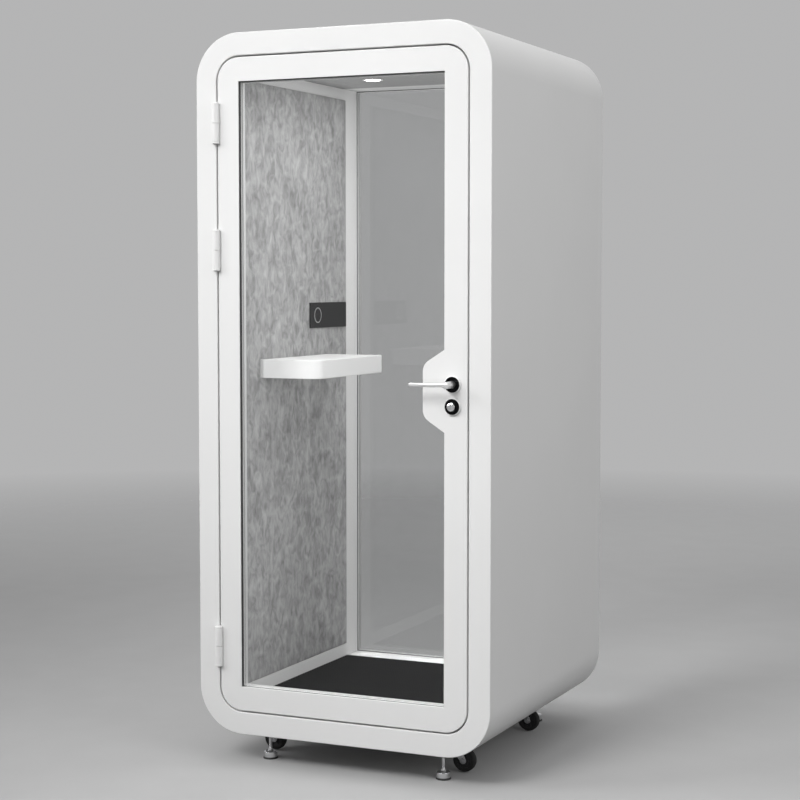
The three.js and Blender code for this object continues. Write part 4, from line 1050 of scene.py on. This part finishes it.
def carpet_pile(bm):
    """Loop-pile carpet: staggered rows of low loops on a flat backing."""
    low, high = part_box("carpet")
    pitch = 9 * MM
    across = round((high.x - low.x) / pitch) * 3
    along = round((high.y - low.y) / pitch) * 3
    loop_height = 1.6 * MM
    rows = []
    for j in range(along + 1):
        y = low.y + (high.y - low.y) * j / along
        row = []
        for i in range(across + 1):
            x = low.x + (high.x - low.x) * i / across
            stagger = math.pi * (j // 3 % 2)
            bulge = abs(math.cos(TURN / 2 * i / 3 + stagger / 2)) * abs(math.sin(TURN / 2 * (j + 0.5) / 3))
            lift = loop_height * bulge * (0.8 + 0.2 * noise.noise(Vector((x * 150, y * 150, 0))))
            row.append(bm.verts.new((x, y, high.z - loop_height + lift)))
        rows.append(row)
    for a, b in zip(rows, rows[1:]):
        for i in range(across):
            bm.faces.new((a[i], a[i + 1], b[i + 1], b[i]))
    border = rows[0] + [r[-1] for r in rows[1:]] + rows[-1][-2::-1] + [r[0] for r in rows[-2:0:-1]]
    rear = [bm.verts.new((v.co.x, v.co.y, low.z)) for v in border]
    for i in range(len(border)):
        j = (i + 1) % len(border)
        bm.faces.new((border[i], border[j], rear[j], rear[i]))
    bm.faces.new(rear)


shape("carpet_pile", carpet_pile, LOOKS["carpet"], "carpet", sharp=75, weighted=False)


# Shelf, socket plate and button

def shelf_slab(bm):
    low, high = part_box("shelf")
    radius = 38 * MM
    root = low.x - 1 * MM
    points = [Vector((root, low.y))] + arc(high.x - radius, low.y + radius, radius, -math.pi / 2, 0, 16)
    corner = 5 * MM
    points += arc(high.x - corner, high.y - corner, corner, 0, math.pi / 2, 5) + [Vector((root, high.y))]
    add_slab(bm, [points], low.z, high.z, along_z, 3 * MM, steps=5)


shape("shelf_slab", shelf_slab, LOOKS["white_board"], "shelf")

button_low, button_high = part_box("push_button")
BUTTON_Y, BUTTON_Z = (button_low.y + button_high.y) / 2, (button_low.z + button_high.z) / 2
BUTTON = (button_high.y - button_low.y) / 2


def socket_plate(bm):
    low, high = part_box("socket_plate")
    outline = rounded_rect(low.y, low.z, high.y, high.z, 1.5 * MM, 4)
    add_slab(bm, [outline, hole(circle(BUTTON_Y, BUTTON_Z, BUTTON + RUNNING))], low.x, high.x, along_x, 0.2 * MM, 1 * MM)


def button_disc(bm):
    top = button_high.x - 0.4 * MM
    rim = BUTTON - 4 * MM
    profile = [(0.1 * MM, button_low.x), (BUTTON, button_low.x), (BUTTON, button_low.x + 0.5 * MM),
               (rim, button_low.x + 0.5 * MM), (rim, top), (rim * 0.8, top - 0.2 * MM), (0.1 * MM, top - 0.8 * MM)]
    add_lathe(bm, [tuple(p) for p in filleted(profile, 0.2 * MM)], (BUTTON_Y, BUTTON_Z), along_x, 64)


def button_ring(bm):
    inner, outer = BUTTON - 3.8 * MM, BUTTON - 0.1 * MM
    back = button_low.x + 0.3 * MM
    profile = [(inner, back), (outer, back), (outer, button_high.x), (inner, button_high.x)]
    add_lathe(bm, [tuple(p) for p in filleted(profile, 0.6 * MM, True)], (BUTTON_Y, BUTTON_Z), along_x, 64, wrap=True)


shape("socket_cover", socket_plate, LOOKS["black_plastic"], "socket_plate")
shape("button_disc", button_disc, LOOKS["black_plastic"], "push_button")
shape("button_ring", button_ring, RING_GREY, body="button")


# Downlight and roof fan

def downlight(bm):
    rim, bore = 36 * MM, 27 * MM
    low, high = light_low.z, light_high.z
    profile = [(bore, low + 0.6 * MM), (bore + 1.4 * MM, low), (rim - 1.5 * MM, low + 0.4 * MM), (rim, low + 2.5 * MM),
               (30 * MM, low + 2.5 * MM), (30 * MM, high), (0.1 * MM, high), (0.1 * MM, high - 16 * MM),
               (bore - 4 * MM, high - 16 * MM), (bore, low + 6 * MM)]
    add_lathe(bm, [tuple(p) for p in filleted(profile, 0.8 * MM, True, 3)], (LIGHT_X, LIGHT_Y), along_z, 64, wrap=True)


def lens(bm):
    low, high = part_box("downlight_lens")
    radius = (high.x - low.x) / 2
    profile = [(0.1 * MM, low.z), (radius * 0.7, low.z + 0.3 * MM), (radius, low.z + 1 * MM), (radius, high.z), (0.1 * MM, high.z)]
    add_lathe(bm, profile, (LIGHT_X, LIGHT_Y), along_z, 64)


shape("downlight_body", downlight, LOOKS["white_shell"], "downlight_can")
shape("downlight_diffuser", lens, LOOKS["lens"], "downlight_lens")

SPIDER_LOW = CEILING + 63 * MM
HUB = 22 * MM


def fan_body(bm):
    low, high = fan_low.z, fan_high.z
    outer, flange = DUCT + 4 * MM, DUCT + 14 * MM
    profile = [(DUCT, low + 0.8 * MM), (DUCT + 1.5 * MM, low), (flange - 1.5 * MM, low), (flange, low + 2.5 * MM),
               (outer, low + 2.5 * MM), (outer, high), (DUCT, high)]
    add_lathe(bm, [tuple(p) for p in filleted(profile, 0.8 * MM, True, 3)], (FAN_X, FAN_Y), along_z, 72, wrap=True)
    boss = [(0.1 * MM, SPIDER_LOW), (HUB, SPIDER_LOW), (HUB, SPIDER_LOW + 4 * MM), (HUB - 2 * MM, SPIDER_LOW + 5 * MM),
            (0.1 * MM, SPIDER_LOW + 5 * MM)]
    add_lathe(bm, boss, (FAN_X, FAN_Y), along_z, 48)
    shaft = 3 * MM
    add_lathe(bm, [(shaft, SPIDER_LOW - 20 * MM), (shaft, SPIDER_LOW + 2 * MM)], (FAN_X, FAN_Y), along_z, 24)
    half = 4 * MM
    reach = DUCT + 2 * MM
    for box in (rect(FAN_X - reach, FAN_Y - half, FAN_X + reach, FAN_Y + half),
                rect(FAN_X - half, FAN_Y - reach, FAN_X + half, FAN_Y + reach)):
        add_slab(bm, [box], SPIDER_LOW, SPIDER_LOW + 5 * MM, along_z, 0.8 * MM)


def fan_guard(z):
    """A finger guard of wire rings on four spokes."""
    def fill(bm):
        wire = 1.1 * MM
        for radius in (14, 24, 34, 44, 54):
            loop = [(p.x, p.y, z) for p in circle(FAN_X, FAN_Y, radius * MM, 64)]
            add_tube(bm, loop, wire, closed=True)
        for k in range(4):
            a = TURN * (k + 0.5) / 4
            ends = [(FAN_X + r * math.cos(a), FAN_Y + r * math.sin(a), z + wire) for r in (10 * MM, DUCT + 1 * MM)]
            add_tube(bm, ends, wire)
        add_lathe(bm, [(11 * MM, z - wire), (11 * MM, z + 2 * wire)], (FAN_X, FAN_Y), along_z, 32)
    return fill


def rotor(bm):
    low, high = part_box("fan_rotor")
    top = SPIDER_LOW - 1.5 * MM
    bottom = top - 24 * MM
    profile = [(0.1 * MM, bottom), (HUB - 3 * MM, bottom), (HUB, bottom + 3 * MM), (HUB, top), (4 * MM, top),
               (4 * MM, top - 19 * MM), (0.1 * MM, top - 19 * MM)]
    add_lathe(bm, [tuple(p) for p in filleted(profile, 1.5 * MM)], (FAN_X, FAN_Y), along_z, 48)
    spans, chords = 8, 6
    for k in range(5):
        grids = []
        for side in (-1, 1):
            grid = []
            for i in range(spans + 1):
                share = i / spans
                radius = HUB - 3 * MM + (DUCT - 4 * MM - HUB + 3 * MM) * share
                tilt = math.radians(44 - 20 * share)
                row = []
                for j in range(chords + 1):
                    across = (j / chords - 0.5) * (20 + 8 * share) * MM
                    camber = 2 * MM * (1 - (2 * j / chords - 1) ** 2)
                    thick = 0.9 * MM * side * (1 - 0.7 * abs(2 * j / chords - 1) ** 3)
                    x, z = across * math.cos(tilt), across * math.sin(tilt) + camber + thick
                    turn = TURN * k / 5 + x / radius
                    row.append(bm.verts.new((FAN_X + radius * math.cos(turn), FAN_Y + radius * math.sin(turn),
                                             (top + bottom) / 2 + z)))
                grid.append(row)
            grids.append(grid)
            for a, b in zip(grid, grid[1:]):
                for j in range(chords):
                    bm.faces.new((a[j], a[j + 1], b[j + 1], b[j]))
        borders = [g[0] + [r[-1] for r in g[1:]] + g[-1][-2::-1] + [r[0] for r in g[-2:0:-1]] for g in grids]
        for i in range(len(borders[0])):
            j = (i + 1) % len(borders[0])
            bm.faces.new((borders[0][i], borders[0][j], borders[1][j], borders[1][i]))


shape("fan_body", fan_body, LOOKS["black_plastic"], "fan_housing")
shape("fan_wheel", rotor, LOOKS["black_plastic"], "fan_rotor")
shape("fan_guard_inside", fan_guard(CEILING + 6 * MM), LOOKS["steel"], body="pod")
shape("fan_guard_outside", fan_guard(TOP - 6 * MM), LOOKS["steel"], body="pod")


# Levelling feet and castors

STEM = 5.3 * MM
PITCH = 1.75 * MM


def threaded_stem(x, y, low, high):
    """A screw thread: a helical ridge on a round bar."""
    def fill(bm):
        sides, per_turn = 24, 8
        rows = round((high - low) / PITCH * per_turn)
        loops = []
        for j in range(rows + 1):
            z = low + (high - low) * j / rows
            loop = []
            for i in range(sides):
                a = TURN * i / sides
                phase = (z / PITCH - i / sides) % 1
                radius = STEM - 0.55 * MM * abs(2 * phase - 1)
                loop.append(Vector((x + radius * math.cos(a), y + radius * math.sin(a), z)))
            loops.append(loop)
        rings = wall(bm, loops)
        bm.faces.new(rings[0])
        bm.faces.new(rings[-1])
    return fill


def foot_cup(x, y):
    def fill(bm):
        pad, cup = 5 * MM, 21.5 * MM
        top = 24 * MM
        profile = [(0.1 * MM, pad - 1 * MM), (cup - 1.5 * MM, pad - 1 * MM), (cup, pad + 1 * MM), (cup, top - 2.4 * MM),
                   (cup - 2.4 * MM, top), (10 * MM, top), (6.4 * MM, top + 5 * MM), (STEM, top + 9 * MM),
                   (0.1 * MM, top + 9 * MM)]
        add_lathe(bm, [tuple(p) for p in filleted(profile, 1.6 * MM)], (x, y), along_z, 56)
        add_slab(bm, [[Vector((x + 8.5 * MM * math.cos(TURN * k / 6), y + 8.5 * MM * math.sin(TURN * k / 6))) for k in range(6)]],
                 top - 1 * MM, top + 5.5 * MM, along_z, 0.7 * MM)
    return fill


def foot_pad(x, y):
    def fill(bm):
        radius = 24 * MM
        profile = [(0.1 * MM, 0), (radius - 1 * MM, 0), (radius, 1 * MM), (radius, 3.6 * MM), (radius - 1.6 * MM, 5 * MM),
                   (0.1 * MM, 5 * MM)]
        add_lathe(bm, [tuple(p) for p in filleted(profile, 0.8 * MM)], (x, y), along_z, 56)
    return fill


def castor_fork(corner):
    low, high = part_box(f"castor_fork_{corner}")
    wheel_low, wheel_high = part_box(f"castor_wheel_{corner}")
    y = (wheel_low.y + wheel_high.y) / 2
    axle_x, axle_z = (wheel_low.x + wheel_high.x) / 2, (wheel_low.z + wheel_high.z) / 2
    sign = 1 if axle_x > 0 else -1
    x = axle_x - sign * 30 * MM

    def fill(bm):
        crown_top, crown_low = BOTTOM - 7 * MM, BOTTOM - 14 * MM
        half = 18 * MM
        inner = (wheel_high.y - wheel_low.y) / 2 + 1.5 * MM
        outer = inner + 3.5 * MM
        boss = 11 * MM
        points = [Vector((-half, crown_top)), Vector((-half, crown_low)), Vector((30 * MM - boss, axle_z))]
        points += arc(30 * MM, axle_z, boss, math.pi, TURN, 14)[1:] + [Vector((half, crown_top))]
        outline = [Vector((x + sign * p.x, p.y)) for p in points]
        if sign < 0:
            outline = outline[::-1]
        for near in (y - outer, y + inner):
            add_slab(bm, [outline], near, near + 3.5 * MM, along_y, 0.7 * MM)
        add_slab(bm, [rounded_rect(x - half, y - outer, x + half, y + outer, 3 * MM, 4)], crown_low, crown_top, along_z, 0.8 * MM)
        collar = [(0.1 * MM, crown_low - 1 * MM), (15 * MM, crown_low - 1 * MM), (half, crown_low + 3 * MM), (half, crown_top + 1 * MM),
                  (16.4 * MM, crown_top + 2 * MM), (16.4 * MM, crown_top + 3.2 * MM), (half, crown_top + 4 * MM),
                  (half, BOTTOM - SLACK), (8 * MM, BOTTOM - SLACK), (8 * MM, high.z), (0.1 * MM, high.z)]
        add_lathe(bm, [tuple(p) for p in filleted(collar, 0.7 * MM)], (x, y), along_z, 48)
        add_lathe(bm, [(4 * MM, y - outer - 0.5 * MM), (4 * MM, y + outer + 0.5 * MM)], (axle_x, axle_z), along_y, 24)
        for near, far in ((y - outer - 3.5 * MM, y - outer), (y + outer, y + outer + 3.5 * MM)):
            nut = [Vector((axle_x + 6.5 * MM * math.cos(TURN * k / 6), axle_z + 6.5 * MM * math.sin(TURN * k / 6))) for k in range(6)]
            add_slab(bm, [nut], near, far, along_y, 0.6 * MM)
    return fill


def castor_tread(corner):
    low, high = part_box(f"castor_wheel_{corner}")
    centre = ((low.x + high.x) / 2, (low.z + high.z) / 2)
    y = (low.y + high.y) / 2
    half, radius = (high.y - low.y) / 2, (high.z - low.z) / 2

    def fill(bm):
        rim = 26 * MM
        profile = [(rim, y - half + 2 * MM), (rim + 2 * MM, y - half), (radius - 3 * MM, y - half + 0.6 * MM), (radius, y - half + 6 * MM),
                   (radius, y + half - 6 * MM), (radius - 3 * MM, y + half - 0.6 * MM), (rim + 2 * MM, y + half), (rim, y + half - 2 * MM)]
        add_lathe(bm, [tuple(p) for p in filleted(profile, 2 * MM, True)], centre, along_y, 64, wrap=True)
    return fill


def castor_hub(corner):
    low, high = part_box(f"castor_wheel_{corner}")
    centre = ((low.x + high.x) / 2, (low.z + high.z) / 2)
    y = (low.y + high.y) / 2
    half = (high.y - low.y) / 2

    def fill(bm):
        rim, web, boss, bore = 26.2 * MM, half - 5 * MM, 10 * MM, 4.4 * MM
        face = half - 1 * MM
        one = [(rim, -face), (rim - 3 * MM, -face), (rim - 4 * MM, -web), (boss + 1 * MM, -web), (boss, -face), (bore, -face)]
        profile = [(r, y + w) for r, w in one] + [(r, y - w) for r, w in reversed(one)]
        add_lathe(bm, [tuple(p) for p in filleted(profile, 0.8 * MM, True, 3)], centre, along_y, 64, wrap=True)
        for k in range(6):
            a = TURN * k / 6
            across, out = Vector((-math.sin(a), math.cos(a))), Vector((math.cos(a), math.sin(a)))
            mid = Vector(centre)
            points = [mid + out * r + across * w for r, w in ((boss - 1 * MM, -1.6 * MM), (rim - 2 * MM, -1.3 * MM),
                                                             (rim - 2 * MM, 1.3 * MM), (boss - 1 * MM, 1.6 * MM))]
            add_slab(bm, [points], y - face + 1 * MM, y + face - 1 * MM, along_y, 0.5 * MM)
    return fill


for corner in ("front_left", "front_right", "rear_left", "rear_right"):
    low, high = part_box(f"levelling_foot_{corner}")
    x, y = (low.x + high.x) / 2, (low.y + high.y) / 2
    shape(f"foot_{corner}_cup", foot_cup(x, y), LOOKS["chrome"], f"levelling_foot_{corner}")
    shape(f"foot_{corner}_stem", threaded_stem(x, y, 32 * MM, high.z), LOOKS["chrome"], body=f"foot_{corner}", sharp=70)
    shape(f"foot_{corner}_pad", foot_pad(x, y), LOOKS["rubber"], body=f"foot_{corner}")
    shape(f"castor_{corner}_fork", castor_fork(corner), LOOKS["steel"], f"castor_fork_{corner}")
    shape(f"castor_{corner}_tread", castor_tread(corner), LOOKS["tyre"], f"castor_wheel_{corner}")
    shape(f"castor_{corner}_hub", castor_hub(corner), HUB_GREY, body=f"wheel_{corner}")


# Stage: a pale floor that fades into the world, soft lights and the photograph's camera

FLOOR_TONE = 0.5
FLOOR_BOUNCE = 0.16


def floor_look():
    """A pale floor that throws little light back on the object."""
    look = Look("studio_floor")
    grain = look.noise(5, 4)
    pale = look.ramp(grain, (0.3, FLOOR_TONE * 0.985), (0.7, FLOOR_TONE * 1.015))
    path = look.add("LightPath").outputs
    mirrored = look.math("MAXIMUM", path["Is Glossy Ray"], path["Is Transmission Ray"])
    seen = look.math("MAXIMUM", path["Is Camera Ray"], mirrored)
    colour = look.blend(seen, (FLOOR_BOUNCE, FLOOR_BOUNCE, FLOOR_BOUNCE, 1), pale)
    look.done(Base_Color=colour, Roughness=0.9, Specular_IOR_Level=0.1)
    away = look.add("VectorMath", {0: look.at}, operation="LENGTH").outputs["Value"]
    fade = look.span(away, 3.5, 9.0, 0, 1)
    clear = look.add("BsdfTransparent")
    mix = look.add("MixShader", {"Fac": fade})
    look.tree.links.new(look.bsdf.outputs[0], mix.inputs[1])
    look.tree.links.new(clear.outputs[0], mix.inputs[2])
    look.tree.links.new(mix.outputs[0], look.tree.nodes["Material Output"].inputs["Surface"])
    return look.mat


def floor_disc():
    bm = bmesh.new()
    bm.faces.new([bm.verts.new((12 * math.cos(TURN * k / 96), 12 * math.sin(TURN * k / 96), 0)) for k in range(96)])
    mesh = bpy.data.meshes.new("studio_floor")
    bm.to_mesh(mesh)
    bm.free()
    mesh.materials.append(floor_look())
    disc = bpy.data.objects.new("studio_floor", mesh)
    bpy.context.scene.collection.objects.link(disc)


def softbox(name, at, towards, width, height, power, seen=True, spread=180):
    lamp = bpy.data.lights.new(name, "AREA")
    lamp.shape = "RECTANGLE"
    lamp.size, lamp.size_y = width, height
    lamp.energy = power
    lamp.spread = math.radians(spread)
    obj = bpy.data.objects.new(name, lamp)
    obj.location = at
    obj.rotation_euler = (Vector(towards) - Vector(at)).to_track_quat("-Z", "Y").to_euler()
    obj.visible_camera = obj.visible_transmission = False
    obj.visible_glossy = seen
    bpy.context.scene.collection.objects.link(obj)


WORLD_TONE = 0.46


def studio_world():
    world = bpy.data.worlds.new("studio")
    world.use_nodes = True
    bpy.context.scene.world = world
    back = world.node_tree.nodes["Background"]
    back.inputs["Color"].default_value = (WORLD_TONE, WORLD_TONE, WORLD_TONE * 1.005, 1)
    back.inputs["Strength"].default_value = 1


floor_disc()
studio_world()
softbox("key_left", (-5.0, -4.0, 4.2), (0.25, -0.45, 1.3), 2.6, 2.6, 15, spread=48)
softbox("key_front", (-0.9, -4.6, 4.5), (0.2, -0.45, 1.2), 2.0, 2.0, 16.5, spread=52)
softbox("fill_right", (4.9, -2.4, 2.8), (0, 0, 1.2), 2.6, 2.6, 58)
softbox("fill_rear", (-1.4, 5.4, 3.2), (0, 0.5, 1.2), 2.6, 2.6, 30, seen=False)
softbox("overhead", (0.2, -0.3, 5.2), (0, 0, 0), 3.0, 3.0, 31)
CABIN_MIDDLE = (FLOOR + CEILING) / 2
for side in (-1, 1):
    inside = (side * (CABIN_X - 20 * MM), 0.07, CABIN_MIDDLE)
    softbox(f"cabin_{'left' if side < 0 else 'right'}", inside, (0, 0.07, CABIN_MIDDLE), 0.86, 2.0, 3.4, seen=False)

softbox("cabin_door", (0, -0.4, CABIN_MIDDLE), (0, 0, CABIN_MIDDLE), 0.7, 1.95, 2.7, seen=False)
softbox("cabin_top", (0.12, 0.0, CEILING - 10 * MM), (0.12, 0.0, FLOOR), 0.5, 0.7, 5.2, seen=False)
softbox("cabin_rear", (0, 0.455, CEILING - 10 * MM), (0, 0.455, FLOOR), 0.7, 0.06, 1.2, seen=False, spread=36)

camera = bpy.data.cameras.new("camera")
camera.lens = 82.44
camera.sensor_width = 36
camera_object = bpy.data.objects.new("camera", camera)
camera_object.location = (2.4829, -5.5268, 1.5427)
camera_object.rotation_euler = (math.radians(86.24), 0, math.radians(24.34))
bpy.context.scene.collection.objects.link(camera_object)
bpy.context.scene.camera = camera_object
bpy.context.scene.view_settings.view_transform = "Standard"
